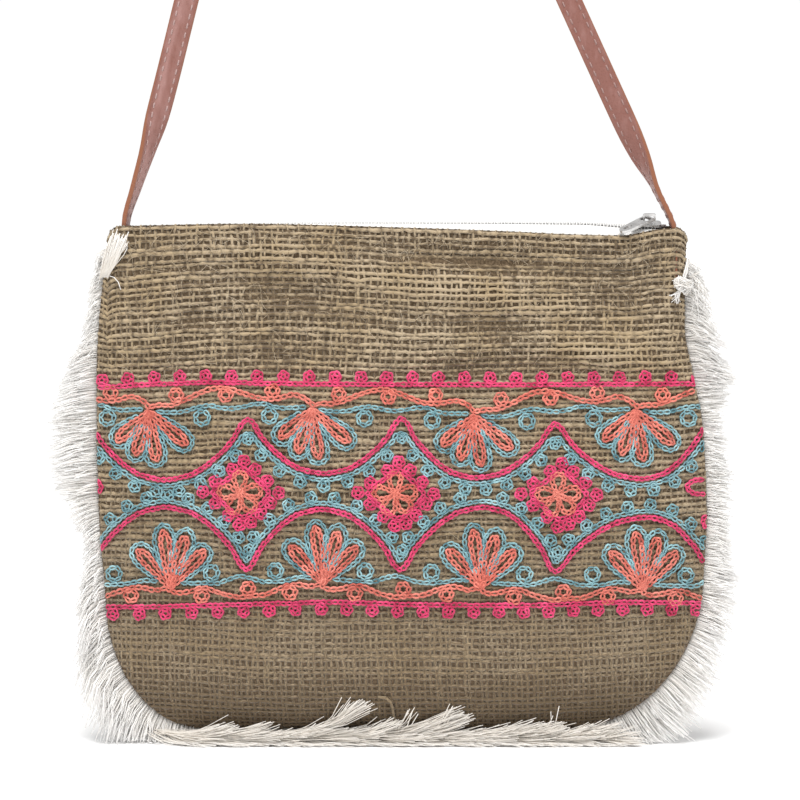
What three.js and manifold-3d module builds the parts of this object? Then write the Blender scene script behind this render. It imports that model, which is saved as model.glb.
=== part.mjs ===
// Fringe bag: a zipped shoulder bag of jute cloth with a cotton fringe sewn into its seam.
// Millimetres, +Z up, front panel towards -Y. The origin is under the strap's top bend, where it hangs.
// Inside this file the bag is drawn with x = 0 at its middle and z = 0 at its bottom seam.
import * as THREE from "three";
import { mergeVertices } from "three/addons/utils/BufferGeometryUtils.js";
import Module from "manifold-3d";

const wasm = await Module();
wasm.setup();

// Driving dimensions
const GAP = 0.3; // left between pieces that touch
const BODY_HEIGHT = 232;
const CLOTH = 1.5; // jute wall
const TOP_CORNER = 6; // radius of the mouth's corners
const EDGE_ROUNDING = 0.75; // how round a panel turns in to the seam
const FOLD_FADE = 8; // how close to the seam the folds run
const DIP_REACH = 70; // how far down the front its dipped top edge pulls the cloth
const PANEL_MESH = { columns: 28, rows: 20, bunchedToSides: 0.55, bunchedToBottom: 0.35 };

const HEADER = { thick: 1, deep: 4 }; // the fringe's tape, held in the seam
const SEAM = HEADER.thick / 2 + GAP; // from the middle plane to a panel's inner face at the seam

const STRAP = { width: 11, thick: 2.2, bevel: 0.5, bend: 18, bendSteps: 10, step: 9 };
const HANDLE_LEAN = { left: 14, right: 24.7 }; // degrees off upright where the strap leaves the view
const HANDLE_POINT = { left: -97.9, right: 75.6, height: 336 }; // where those straight runs pass

const TAPE = { thick: 0.8, leg: 9, land: 4.9, tuck: 1, end: 121, steps: 24 };
const COIL = { half: 2.6, rise: 1.1, bevel: 0.6, start: -120 };
const SLIDER = { across: 113, long: 11, wide: 8, tail: 5.6, plate: 1, nose: 2 };
const CROWN = { hole: 2, leg: 1, half: 0.6, lift: 2.2, bar: 1.1, clear: 1.1 };
const PULL = { long: 17, wide: 6.8, tip: 5.4, thick: 1.2, pin: 0.5, slot: 3.5, rail: 1 };
const PULL_EYE = { at: 12.7, long: 4.6, wide: 2.4 }; // the oval hole at the pull's tip
const PULL_REST = { yaw: 35, dip: 12 }; // degrees towards the front and down on to the slider

// Where the bottom corners of the seam curve, as quarter ellipses
const CORNERS = {
  left: { across: 46, up: 60 },
  right: { across: 64, up: 72 },
};

// The side seams above those corners
const SIDE_ROWS = [
  { height: 60, left: -136.3, right: 138 },
  { height: 100, left: -139.3, right: 140 },
  { height: 140, left: -140, right: 138 },
  { height: 165, left: -140, right: 134 },
  { height: 188, left: -138.8, right: 130.8 },
  { height: 212, left: -136.4, right: 131 },
  { height: 232, left: -134.5, right: 132 },
];

// Half the hollow's depth up the bag, and how boxy its plan is there
const DEPTH_ROWS = [
  { height: 0, depth: 0, fullness: 3 },
  { height: 4, depth: 6, fullness: 3 },
  { height: 14, depth: 12, fullness: 3 },
  { height: 35, depth: 17.5, fullness: 3 },
  { height: 70, depth: 21, fullness: 3 },
  { height: 105, depth: 22, fullness: 3.2 },
  { height: 145, depth: 19, fullness: 4 },
  { height: 185, depth: 13.5, fullness: 7 },
  { height: 215, depth: 8.8, fullness: 14 },
  { height: 232, depth: 7.2, fullness: 20 },
];

// How far the front's top edge dips below the back's
const DIP_ROWS = [
  { across: -140, dip: 0 },
  { across: -70, dip: 0 },
  { across: 0, dip: 2.3 },
  { across: 45, dip: 4.2 },
  { across: 80, dip: 5.2 },
  { across: 100, dip: 5 },
  { across: 117, dip: 1 },
  { across: 140, dip: 0 },
];

// Soft folds in the front panel: a ridge pushes out, a trough goes in
const FOLD_ROWS = [
  { across: -50, height: 206, long: 34, broad: 8, turn: -18, push: -2 },
  { across: -38, height: 220, long: 30, broad: 7, turn: -10, push: 1.6 },
  { across: 28, height: 203, long: 40, broad: 8, turn: -5, push: 2.4 },
  { across: 50, height: 218, long: 38, broad: 7, turn: -6, push: -1.8 },
  { across: 86, height: 178, long: 36, broad: 8, turn: -12, push: 2.2 },
  { across: 45, height: 164, long: 52, broad: 7, turn: 4, push: -2.2 },
  { across: -50, height: 168, long: 26, broad: 9, turn: 8, push: -1.8 },
  { across: -112, height: 158, long: 24, broad: 8, turn: 0, push: -1.6 },
  { across: 106, height: 214, long: 10, broad: 16, turn: 10, push: -1.8 },
];

// The fringe's outer form along the seam, from the left top round the bottom to the right top
const FRINGE_ROWS = [
  { along: 0, reach: 12, spread: 4, droop: 52 },
  { along: 0.08, reach: 19, spread: 5, droop: 40 },
  { along: 0.18, reach: 23, spread: 6, droop: 28 },
  { along: 0.25, reach: 20, spread: 6, droop: 14 },
  { along: 0.3, reach: 21, spread: 8, droop: -22 },
  { along: 0.345, reach: 13, spread: 11, droop: -28 },
  { along: 0.385, reach: 8, spread: 13, droop: 0 },
  { along: 0.5, reach: 7, spread: 14, droop: 0 },
  { along: 0.61, reach: 8, spread: 13, droop: 0 },
  { along: 0.655, reach: 12, spread: 11, droop: -26 },
  { along: 0.71, reach: 20, spread: 8, droop: -20 },
  { along: 0.77, reach: 17, spread: 6, droop: 6 },
  { along: 0.88, reach: 14, spread: 6, droop: 22 },
  { along: 0.96, reach: 14, spread: 5, droop: 24 },
  { along: 1, reach: 8, spread: 4, droop: 10 },
];
const FRINGE_TOP = { left: 222, right: 218 };
const FRINGE_MESH = { stations: 64, sidePoints: 24, bunchedToCorner: 1.6 };

// Half of a section through the fringe, from its tape to the strands' ends
const FRINGE_NECK = 2.5 * GAP;
const FRINGE_SHOULDER = { out: 2.2, spread: 0.55 };
const FRINGE_BODY = [
  { reach: 0.5, spread: 1 },
  { reach: 0.85, spread: 0.75 },
  { reach: 1, spread: 0.3 },
];

// The strap's runs from the sewn end up; turn 90 shows its edge to the front, 0 its face
const STRAP_RUNS = {
  left: [
    { height: 210, across: -126.4, turn: 90 },
    { height: 232, across: -126.4, turn: 84 },
    { height: 250, across: -121.5, turn: 74 },
    { height: 266, across: -116.4, turn: 60 },
    { height: 290, across: -109.6, turn: 12 },
    { height: 336, across: -97.9, turn: 0 },
  ],
  right: [
    { height: 206, across: 124.6, turn: 90 },
    { height: 228, across: 124.6, turn: 90 },
    { height: 249, across: 116, turn: 84 },
    { height: 266, across: 108, turn: 42 },
    { height: 284, across: 99.6, turn: 10 },
    { height: 336, across: 75.6, turn: 0 },
  ],
};
const FACE_ON = 372; // height up to which the strap keeps its face to the front

// The closed zip along the mouth: the height of its ridge and how far it leans to the front
const ZIP_ROWS = [
  { across: -125, ridge: 230, lean: 0 },
  { across: -105, ridge: 232.6, lean: 0 },
  { across: 0, ridge: 233.6, lean: 4 },
  { across: 80, ridge: 233.4, lean: 10 },
  { across: 105, ridge: 232, lean: 15 },
  { across: 125, ridge: 231.4, lean: 15 },
];

const COLOURS = {
  jute: { color: 0xa78f6c, roughness: 0.95, metalness: 0 },
  cotton: { color: 0xe9e3d6, roughness: 0.9, metalness: 0 },
  leather: { color: 0xa9654f, roughness: 0.5, metalness: 0 },
  white_tape: { color: 0xf1efea, roughness: 0.85, metalness: 0 },
  white_coil: { color: 0xf4f2ee, roughness: 0.4, metalness: 0 },
  steel: { color: 0xc4c5c7, roughness: 0.3, metalness: 1 },
};

const DEEP = new THREE.Vector3(0, 1, 0);
const UP = new THREE.Vector3(0, 0, 1);
const radians = THREE.MathUtils.degToRad;

// One column of a table, read smoothly between its rows
function column(rows, key, name, at) {
  const last = rows.length - 1;
  const where = THREE.MathUtils.clamp(at, rows[0][key], rows[last][key]);
  const i = Math.min(last - 1, Math.max(0, rows.findIndex((row) => row[key] >= where) - 1));
  const slope = (a, b) => (rows[b][name] - rows[a][name]) / (rows[b][key] - rows[a][key]);
  const tangent = (n) => {
    if (n === 0 || n === last) return slope(Math.max(0, n - 1), Math.min(last, n + 1));
    const before = slope(n - 1, n);
    const after = slope(n, n + 1);
    return before * after <= 0 ? 0 : (2 * before * after) / (before + after);
  };
  const span = rows[i + 1][key] - rows[i][key];
  const t = (where - rows[i][key]) / span;
  const rise = rows[i + 1][name] - rows[i][name];
  const bend = span * (tangent(i) * (1 - t) * (1 - t) * t - tangent(i + 1) * t * t * (1 - t));
  return rows[i][name] + rise * t * t * (3 - 2 * t) + bend;
}

// A closed mesh whose faces are turned outwards
function closedGeometry(points, faces) {
  const enclosed = faces.reduce(
    (sum, [a, b, c]) => sum + points[a].dot(points[b].clone().cross(points[c])),
    0,
  );
  const outward = enclosed < 0 ? faces.map(([a, b, c]) => [a, c, b]) : faces;
  const geometry = new THREE.BufferGeometry().setFromPoints(points);
  geometry.setIndex(outward.flat());
  geometry.computeVertexNormals();
  return geometry;
}

// A solid drawn through stations, each with an origin, two directions and a flat profile
function loft(stations) {
  const rings = stations.map(({ profile }) =>
    THREE.ShapeUtils.isClockWise(profile) ? [...profile].reverse() : profile,
  );
  const sides = rings[0].length;
  const points = stations.flatMap(({ origin, u, v }, n) =>
    rings[n].map((p) => origin.clone().addScaledVector(u, p.x).addScaledVector(v, p.y)),
  );
  const faces = [];
  for (let ring = 0; ring + 1 < stations.length; ring++) {
    for (let side = 0; side < sides; side++) {
      const a = ring * sides + side;
      const b = ring * sides + ((side + 1) % sides);
      faces.push([a, b, b + sides], [a, b + sides, a + sides]);
    }
  }
  const start = THREE.ShapeUtils.triangulateShape(rings[0], []);
  const end = THREE.ShapeUtils.triangulateShape(rings.at(-1), []);
  const shift = (stations.length - 1) * sides;
  start.forEach(([a, b, c]) => faces.push([a, c, b]));
  end.forEach(([a, b, c]) => faces.push([a + shift, b + shift, c + shift]));
  return closedGeometry(points, faces);
}

// Where the seam of one side runs at a height
function seamAcross(side, height) {
  const corner = CORNERS[side];
  const edge = column(SIDE_ROWS, "height", side, Math.max(height, corner.up));
  const below = Math.max(0, corner.up - height) / corner.up;
  return edge - Math.sign(edge) * corner.across * (1 - Math.sqrt(1 - below * below));
}

// How far out a point is between the middle (0) and the side seam (1)
function seamShare(across, height) {
  const left = seamAcross("left", height);
  const right = seamAcross("right", height);
  return Math.min(1, Math.abs(across - (left + right) / 2) / ((right - left) / 2));
}

// Half the hollow's depth at a place on the panel
function hollow(across, height) {
  const depth = column(DEPTH_ROWS, "height", "depth", height);
  const fullness = column(DEPTH_ROWS, "height", "fullness", height);
  return depth * (1 - seamShare(across, height) ** fullness) ** EDGE_ROUNDING;
}

// How far the folds push the front panel out at a place
function folds(across, height) {
  const flat = 1 - seamShare(across, height) ** FOLD_FADE;
  return FOLD_ROWS.reduce((sum, fold) => {
    const [c, s] = [Math.cos(radians(fold.turn)), Math.sin(radians(fold.turn))];
    const x = across - fold.across;
    const z = height - fold.height;
    const along = (x * c + z * s) / fold.long;
    const over = (z * c - x * s) / fold.broad;
    return sum + flat * fold.push * Math.exp(-along * along - over * over);
  }, 0);
}

// The height of the front's or back's top edge at a place across
function topEdge(front, across) {
  const dip = front ? column(DIP_ROWS, "across", "dip", across) : 0;
  const side = across < 0 ? "left" : "right";
  const inset = Math.min(TOP_CORNER, Math.abs(seamAcross(side, BODY_HEIGHT) - across));
  const short = TOP_CORNER - inset;
  return BODY_HEIGHT - dip - TOP_CORNER + Math.sqrt(TOP_CORNER * TOP_CORNER - short * short);
}

// A jute panel: a wall that bulges from the seam and ends in an open top edge
function panelGeometry(front) {
  const facing = front ? -1 : 1;
  const outer = [];
  const inner = [];
  for (let row = 0; row <= PANEL_MESH.rows; row++) {
    const share = row / PANEL_MESH.rows;
    const level = BODY_HEIGHT * THREE.MathUtils.lerp(share, share * share, PANEL_MESH.bunchedToBottom);
    const left = seamAcross("left", level);
    const right = seamAcross("right", level);
    for (let n = 0; n <= PANEL_MESH.columns; n++) {
      const t = (2 * n) / PANEL_MESH.columns - 1;
      const s = THREE.MathUtils.lerp(t, Math.sin((t * Math.PI) / 2), PANEL_MESH.bunchedToSides);
      const across = (left + right) / 2 + (s * (right - left)) / 2;
      const lift = THREE.MathUtils.smoothstep(level, BODY_HEIGHT - DIP_REACH, BODY_HEIGHT);
      const height = level - lift * (BODY_HEIGHT - topEdge(front, across));
      const out = SEAM + hollow(across, level) + (front ? folds(across, level) : 0);
      inner.push(new THREE.Vector3(across, facing * out, height));
      outer.push(new THREE.Vector3(across, facing * (out + CLOTH), height));
    }
  }
  const wide = PANEL_MESH.columns + 1;
  const count = outer.length;
  const faces = [];
  const quad = (a, b, c, d) => faces.push([a, b, c], [a, c, d]);
  for (let row = 0; row < PANEL_MESH.rows; row++) {
    for (let n = 0; n < PANEL_MESH.columns; n++) {
      const a = row * wide + n;
      quad(a, a + 1, a + 1 + wide, a + wide);
      quad(count + a, count + a + wide, count + a + 1 + wide, count + a + 1);
    }
    const [left, right] = [row * wide, row * wide + PANEL_MESH.columns];
    quad(left, left + wide, count + left + wide, count + left);
    quad(right, count + right, count + right + wide, right + wide);
  }
  for (let n = 0; n < PANEL_MESH.columns; n++) {
    const top = PANEL_MESH.rows * wide + n;
    quad(n, count + n, count + n + 1, n + 1);
    quad(top, top + 1, count + top + 1, count + top);
  }
  return closedGeometry([...outer, ...inner], faces);
}

// The seam that carries the fringe, from the left top round the bottom to the right top
function seamCurve() {
  const side = (name, top) => {
    const points = [];
    for (let n = 0; n <= FRINGE_MESH.sidePoints; n++) {
      const height = top * (1 - n / FRINGE_MESH.sidePoints) ** FRINGE_MESH.bunchedToCorner;
      points.push(new THREE.Vector3(seamAcross(name, height), 0, height));
    }
    return points;
  };
  const points = [...side("left", FRINGE_TOP.left), ...side("right", FRINGE_TOP.right).reverse()];
  return new THREE.CatmullRomCurve3(points, false, "centripetal");
}

// The fringe: its tape in the seam, and the outer form of its strands
function fringeGeometry() {
  const curve = seamCurve();
  const stations = [];
  for (let n = 0; n <= FRINGE_MESH.stations; n++) {
    const along = n / FRINGE_MESH.stations;
    const value = (name) => column(FRINGE_ROWS, "along", name, along);
    const [reach, spread] = [value("reach"), value("spread")];
    const way = curve.getTangentAt(along);
    const out = new THREE.Vector3(way.z, 0, -way.x);
    const down = Math.sign(out.x) * radians(value("droop"));
    out.applyAxisAngle(DEEP, down);
    const half = HEADER.thick / 2;
    const upper = [
      [-HEADER.deep, half],
      [FRINGE_NECK, half],
      [FRINGE_SHOULDER.out, FRINGE_SHOULDER.spread * spread],
      ...FRINGE_BODY.map((row) => [row.reach * reach, row.spread * spread]),
    ];
    const lower = upper.map(([x, y]) => [x, -y]).reverse();
    const profile = [...upper, ...lower].map(([x, y]) => new THREE.Vector2(x, y));
    stations.push({ origin: curve.getPointAt(along), u: out, v: DEEP, profile });
  }
  return loft(stations);
}

// The centre of the strap's top bend, which touches both straight runs
function bendCentre() {
  const lines = ["left", "right"].map((side) => {
    const lean = radians(HANDLE_LEAN[side]);
    const inward = side === "left" ? 1 : -1;
    const normal = new THREE.Vector2(inward * Math.cos(lean), -Math.sin(lean));
    const point = new THREE.Vector2(HANDLE_POINT[side], HANDLE_POINT.height);
    return { normal, reach: normal.dot(point) + STRAP.bend };
  });
  const [a, b] = lines;
  const det = a.normal.cross(b.normal);
  return new THREE.Vector3(
    (a.reach * b.normal.y - b.reach * a.normal.y) / det,
    0,
    (a.normal.x * b.reach - b.normal.x * a.reach) / det,
  );
}

// The strap's midline as places with a turn: up the left run, over the bend and down the right
function strapPlaces() {
  const centre = bendCentre();
  const run = (side) => {
    const inward = side === "left" ? 1 : -1;
    const lean = radians(HANDLE_LEAN[side]);
    const top = centre.z + STRAP.bend * Math.sin(lean);
    const rows = STRAP_RUNS[side];
    const [first, last] = [rows[0].height, rows.at(-1).height];
    const steps = Math.round((top - first) / STRAP.step);
    const places = [];
    for (let n = 0; n < steps; n++) {
      const height = first + ((top - first) * n) / steps;
      const past = Math.max(0, height - last);
      const across = column(rows, "height", "across", height) + inward * past * Math.tan(lean);
      const back = 90 * THREE.MathUtils.smoothstep(height, FACE_ON, top);
      places.push({ across, height, turn: column(rows, "height", "turn", height) + back });
    }
    return places;
  };
  const bend = [];
  const from = Math.PI - radians(HANDLE_LEAN.left);
  const sweep = from - radians(HANDLE_LEAN.right);
  for (let n = 0; n <= STRAP.bendSteps; n++) {
    const angle = from - (sweep * n) / STRAP.bendSteps;
    const across = centre.x + STRAP.bend * Math.cos(angle);
    bend.push({ across, height: centre.z + STRAP.bend * Math.sin(angle), turn: 90 });
  }
  return [...run("left"), ...bend, ...run("right").reverse()];
}

// A flat rectangle with its corners cut off
const bevelledBox = (half, rise, bevel) =>
  [
    [-half, rise - bevel],
    [bevel - half, rise],
    [half - bevel, rise],
    [half, rise - bevel],
    [half, bevel - rise],
    [half - bevel, -rise],
    [bevel - half, -rise],
    [-half, bevel - rise],
  ].map(([x, y]) => new THREE.Vector2(x, y));

// The strap: one leather strip that turns a quarter from each sewn end and again to its top bend
function strapGeometry() {
  const places = strapPlaces();
  const points = places.map(({ across, height }) => new THREE.Vector3(across, 0, height));
  const profile = bevelledBox(STRAP.width / 2, STRAP.thick / 2, STRAP.bevel);
  const stations = places.map(({ turn }, n) => {
    const before = points[Math.max(0, n - 1)];
    const after = points[Math.min(points.length - 1, n + 1)];
    const way = after.clone().sub(before).normalize();
    const width = new THREE.Vector3(way.z, 0, -way.x).applyAxisAngle(way, radians(turn));
    return { origin: points[n], u: width, v: way.clone().cross(width), profile };
  });
  return loft(stations);
}

// The zip's own frame at a place across the mouth: its ridge, the way to the back and the way up
function zipFrame(across) {
  const lean = radians(column(ZIP_ROWS, "across", "lean", across));
  return {
    ridge: new THREE.Vector2(0, column(ZIP_ROWS, "across", "ridge", across)),
    back: new THREE.Vector2(Math.cos(lean), Math.sin(lean)),
    up: new THREE.Vector2(-Math.sin(lean), Math.cos(lean)),
    lean,
  };
}

// Half of the zip's tape: a leg down inside the panel, then a slope up to a land beside the coil
function tapeGeometry(front) {
  const facing = front ? -1 : 1;
  const stations = [];
  for (let n = 0; n <= TAPE.steps; n++) {
    const across = TAPE.end * ((2 * n) / TAPE.steps - 1);
    const { ridge, back, up } = zipFrame(across);
    const face = SEAM + hollow(across, BODY_HEIGHT) - 2 * GAP;
    const fold = topEdge(front, across) - TAPE.tuck;
    const beside = (out, sink) =>
      ridge.clone().addScaledVector(back, facing * out).addScaledVector(up, -sink);
    const profile = [
      new THREE.Vector2(facing * face, fold - TAPE.leg),
      new THREE.Vector2(facing * face, fold),
      beside(TAPE.land, 0),
      beside(COIL.half + GAP, 0),
      beside(COIL.half + GAP, TAPE.thick),
      beside(TAPE.land - TAPE.thick / 2, TAPE.thick),
      new THREE.Vector2(facing * (face - TAPE.thick), fold - TAPE.thick / 2),
      new THREE.Vector2(facing * (face - TAPE.thick), fold - TAPE.leg),
    ];
    stations.push({ origin: new THREE.Vector3(across, 0, 0), u: DEEP, v: UP, profile });
  }
  return loft(stations);
}

// The closed coil between the two tapes, up to the slider's post
function coilGeometry() {
  const end = SLIDER.across + SLIDER.long / 2 - SLIDER.nose - GAP;
  const profile = bevelledBox(COIL.half, COIL.rise, COIL.bevel);
  const stations = [];
  for (let n = 0; n <= TAPE.steps; n++) {
    const across = COIL.start + ((end - COIL.start) * n) / TAPE.steps;
    const { ridge, back, up } = zipFrame(across);
    const middle = ridge.clone().addScaledVector(up, -TAPE.thick / 2);
    stations.push({
      origin: new THREE.Vector3(across, middle.x, middle.y),
      u: new THREE.Vector3(0, back.x, back.y),
      v: new THREE.Vector3(0, up.x, up.y),
      profile,
    });
  }
  return loft(stations);
}

// A geometry as a solid that can be joined
function solid(geometry) {
  const bare = geometry.clone();
  bare.deleteAttribute("normal");
  bare.deleteAttribute("uv");
  const merged = mergeVertices(bare);
  const vertProperties = merged.getAttribute("position").array;
  const triVerts = new Uint32Array(merged.index.array);
  return new wasm.Manifold(new wasm.Mesh({ numProp: 3, vertProperties, triVerts }));
}

function joined(geometries) {
  const whole = geometries.map(solid).reduce((sum, next) => sum.add(next));
  const mesh = whole.getMesh();
  const geometry = new THREE.BufferGeometry();
  geometry.setAttribute("position", new THREE.BufferAttribute(mesh.vertProperties, 3));
  geometry.setIndex(new THREE.BufferAttribute(mesh.triVerts, 1));
  geometry.computeVertexNormals();
  return geometry;
}

const PLATE_TOP = COIL.rise + GAP + SLIDER.plate; // above the coil's middle
const PIVOT = PLATE_TOP + CROWN.lift;

// The slider: a plate over and one under the coil, joined by a post, and the crown for the pull
function sliderGeometry() {
  const plate = (side) => {
    const outline = new THREE.Shape();
    const [x, y] = [SLIDER.long / 2, SLIDER.wide / 2];
    outline.moveTo(-x, -SLIDER.tail / 2);
    outline.lineTo(x - SLIDER.nose, -y);
    outline.quadraticCurveTo(x, -y, x, 0);
    outline.quadraticCurveTo(x, y, x - SLIDER.nose, y);
    outline.lineTo(-x, SLIDER.tail / 2);
    const made = new THREE.ExtrudeGeometry(outline, {
      depth: SLIDER.plate,
      bevelEnabled: false,
      curveSegments: 5,
    });
    return made.translate(0, 0, side > 0 ? PLATE_TOP - SLIDER.plate : -PLATE_TOP);
  };
  const post = new THREE.BoxGeometry(SLIDER.nose - GAP, SLIDER.nose, 2 * PLATE_TOP - SLIDER.plate);
  post.translate(SLIDER.long / 2 - SLIDER.nose / 2, 0, 0);
  const outer = CROWN.hole + CROWN.leg;
  const top = CROWN.lift + CROWN.clear + CROWN.bar;
  const arch = new THREE.Shape();
  arch.moveTo(-outer, -SLIDER.plate / 2);
  arch.lineTo(outer, -SLIDER.plate / 2);
  arch.lineTo(outer, top - CROWN.bar);
  arch.quadraticCurveTo(outer, top, outer - CROWN.bar, top);
  arch.lineTo(CROWN.bar - outer, top);
  arch.quadraticCurveTo(-outer, top, -outer, top - CROWN.bar);
  const hole = new THREE.Path();
  hole.moveTo(-CROWN.hole, CROWN.bar / 2);
  hole.lineTo(-CROWN.hole, top - CROWN.bar);
  hole.lineTo(CROWN.hole, top - CROWN.bar);
  hole.lineTo(CROWN.hole, CROWN.bar / 2);
  arch.holes.push(hole);
  const crown = new THREE.ExtrudeGeometry(arch, {
    depth: 2 * CROWN.half,
    bevelEnabled: false,
    curveSegments: 4,
  });
  crown.translate(0, 0, -CROWN.half).rotateX(Math.PI / 2).translate(0, 0, PLATE_TOP);
  return joined([plate(1), plate(-1), post, crown]);
}

// The pull: a flat tab with a slot that takes the crown and an oval hole at its tip
function pullGeometry() {
  const [root, tip] = [PULL.wide / 2, PULL.tip / 2];
  const tab = new THREE.Shape();
  tab.moveTo(-PULL.pin, -root);
  tab.lineTo(PULL.pin + PULL.slot, -root);
  tab.lineTo(PULL.long - tip, -tip);
  tab.absarc(PULL.long - tip, 0, tip, -Math.PI / 2, Math.PI / 2);
  tab.lineTo(PULL.pin + PULL.slot, root);
  tab.lineTo(-PULL.pin, root);
  const slot = new THREE.Path();
  const inside = root - PULL.rail;
  slot.moveTo(PULL.pin, -inside);
  slot.lineTo(PULL.pin, inside);
  slot.lineTo(PULL.pin + PULL.slot, inside);
  slot.lineTo(PULL.pin + PULL.slot, -inside);
  const eye = new THREE.Path();
  eye.absellipse(PULL_EYE.at, 0, PULL_EYE.long / 2, PULL_EYE.wide / 2, 0, 2 * Math.PI, true);
  tab.holes.push(slot, eye);
  const options = { depth: PULL.thick, bevelEnabled: false, curveSegments: 8 };
  return new THREE.ExtrudeGeometry(tab, options).translate(0, 0, -PULL.thick / 2);
}

function piece(name, geometry, colour) {
  const mesh = new THREE.Mesh(geometry, new THREE.MeshStandardMaterial(COLOURS[colour]));
  mesh.name = name;
  return mesh;
}

// The slider with its pull, set on the zip near its right end
function zipPulls() {
  const group = new THREE.Group();
  const { ridge, up, lean } = zipFrame(SLIDER.across);
  const middle = ridge.clone().addScaledVector(up, -TAPE.thick / 2);
  group.position.set(SLIDER.across, middle.x, middle.y);
  group.rotation.x = lean;
  const turned = new THREE.Group();
  turned.position.z = PIVOT;
  turned.rotation.z = Math.PI + radians(PULL_REST.yaw);
  const pull = piece("zip_pull", pullGeometry(), "steel");
  pull.rotation.y = radians(PULL_REST.dip);
  turned.add(pull);
  group.add(piece("zip_slider", sliderGeometry(), "steel"), turned);
  return group;
}

const bag = new THREE.Group();
bag.add(
  piece("front_panel", panelGeometry(true), "jute"),
  piece("back_panel", panelGeometry(false), "jute"),
  piece("fringe", fringeGeometry(), "cotton"),
  piece("strap", strapGeometry(), "leather"),
  piece("zip_tape_front", tapeGeometry(true), "white_tape"),
  piece("zip_tape_back", tapeGeometry(false), "white_tape"),
  piece("zip_coil", coilGeometry(), "white_coil"),
  zipPulls(),
);
const hang = bendCentre();
bag.position.set(-hang.x, 0, -(hang.z + STRAP.bend - STRAP.thick / 2));

const root = new THREE.Group();
root.add(bag);
export default root;
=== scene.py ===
"""The looks of a fringe bag: jute walls, chain-stitched bands, cotton fringe, leather strap and zip."""

import math

import bpy
import numpy as np
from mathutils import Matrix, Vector


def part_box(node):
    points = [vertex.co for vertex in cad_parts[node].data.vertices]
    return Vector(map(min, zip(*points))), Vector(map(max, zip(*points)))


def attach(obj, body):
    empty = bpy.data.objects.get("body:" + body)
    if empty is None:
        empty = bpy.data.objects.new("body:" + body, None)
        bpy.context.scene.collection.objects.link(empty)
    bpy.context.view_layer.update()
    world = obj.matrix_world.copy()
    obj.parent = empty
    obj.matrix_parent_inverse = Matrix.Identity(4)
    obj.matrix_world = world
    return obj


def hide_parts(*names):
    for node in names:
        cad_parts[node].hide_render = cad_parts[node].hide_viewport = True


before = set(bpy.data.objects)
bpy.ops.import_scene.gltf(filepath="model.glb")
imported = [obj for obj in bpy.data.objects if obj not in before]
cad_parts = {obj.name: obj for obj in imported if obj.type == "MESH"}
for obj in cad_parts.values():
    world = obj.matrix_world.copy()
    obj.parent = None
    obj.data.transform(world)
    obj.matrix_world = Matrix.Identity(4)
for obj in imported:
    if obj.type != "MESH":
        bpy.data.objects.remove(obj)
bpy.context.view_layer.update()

# Jute walls
# Front and back are one coarse plain weave of single jute yarns, cut to a bag shape with round bottom
# corners, sewn together along the sides and bottom and turned in along the mouth. The filled bag bulges,
# and the front sinks into soft folds. Lengths are millimetres from the bag's middle and its bottom seam.
MM = 0.001
panel_low, panel_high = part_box("front_panel")
BAG_MIDDLE = (panel_low.x + panel_high.x) / 2
BAG_BOTTOM = panel_low.z
BODY_HEIGHT = 232
CLOTH = 1.5
SEAM_HALF = 0.8  # from the middle plane to a wall's inner face at the seam
MOUTH_CORNER = 6
EDGE_ROUNDING = 0.75
FOLD_FADE = 8
DIP_REACH = 70
BOTTOM_CORNER = {"left": {"across": 46, "up": 60}, "right": {"across": 64, "up": 72}}
SIDE_SEAM = {
    "height": [60, 100, 140, 165, 188, 212, 232],
    "left": [-136.3, -139.3, -140, -140, -138.8, -136.4, -134.5],
    "right": [138, 140, 138, 133.2, 129.4, 129.4, 130.2],
}
FULLNESS = {
    "height": [0, 4, 14, 35, 70, 105, 145, 185, 215, 232],
    "depth": [0, 6, 12, 17.5, 21, 22, 19, 13.5, 8.8, 7.2],
    "boxy": [3, 3, 3, 3, 3, 3.2, 4, 7, 14, 20],
}
MOUTH_DIP = {
    "across": [-140, -70, 0, 45, 80, 100, 117, 140],
    "dip": [-0.2, -1.5, 0.2, 1.8, 3.4, 3.8, 1, 0],
}
FOLDS = [
    {"across": -52, "height": 200, "long": 28, "broad": 8, "turn": -13, "push": -3.5},
    {"across": -55, "height": 218, "long": 36, "broad": 7, "turn": -4, "push": 2.8},
    {"across": -115, "height": 211, "long": 26, "broad": 5, "turn": -4, "push": -1.4},
    {"across": -94, "height": 189, "long": 13, "broad": 7, "turn": 0, "push": -3.2},
    {"across": -56, "height": 174, "long": 16, "broad": 10, "turn": 8, "push": -2.8},
    {"across": -108, "height": 167, "long": 22, "broad": 6, "turn": 0, "push": -2.1},
    {"across": 27, "height": 204, "long": 36, "broad": 8, "turn": -6, "push": 4.5},
    {"across": 35, "height": 217, "long": 48, "broad": 6, "turn": -3, "push": -2.8},
    {"across": 100, "height": 209, "long": 17, "broad": 13, "turn": 0, "push": -4.8},
    {"across": 47, "height": 185, "long": 20, "broad": 7, "turn": -4, "push": -2.8},
    {"across": 92, "height": 175, "long": 24, "broad": 6, "turn": -8, "push": 4.5},
    {"across": 34, "height": 167, "long": 46, "broad": 6, "turn": 4, "push": -3.2},
]


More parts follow.
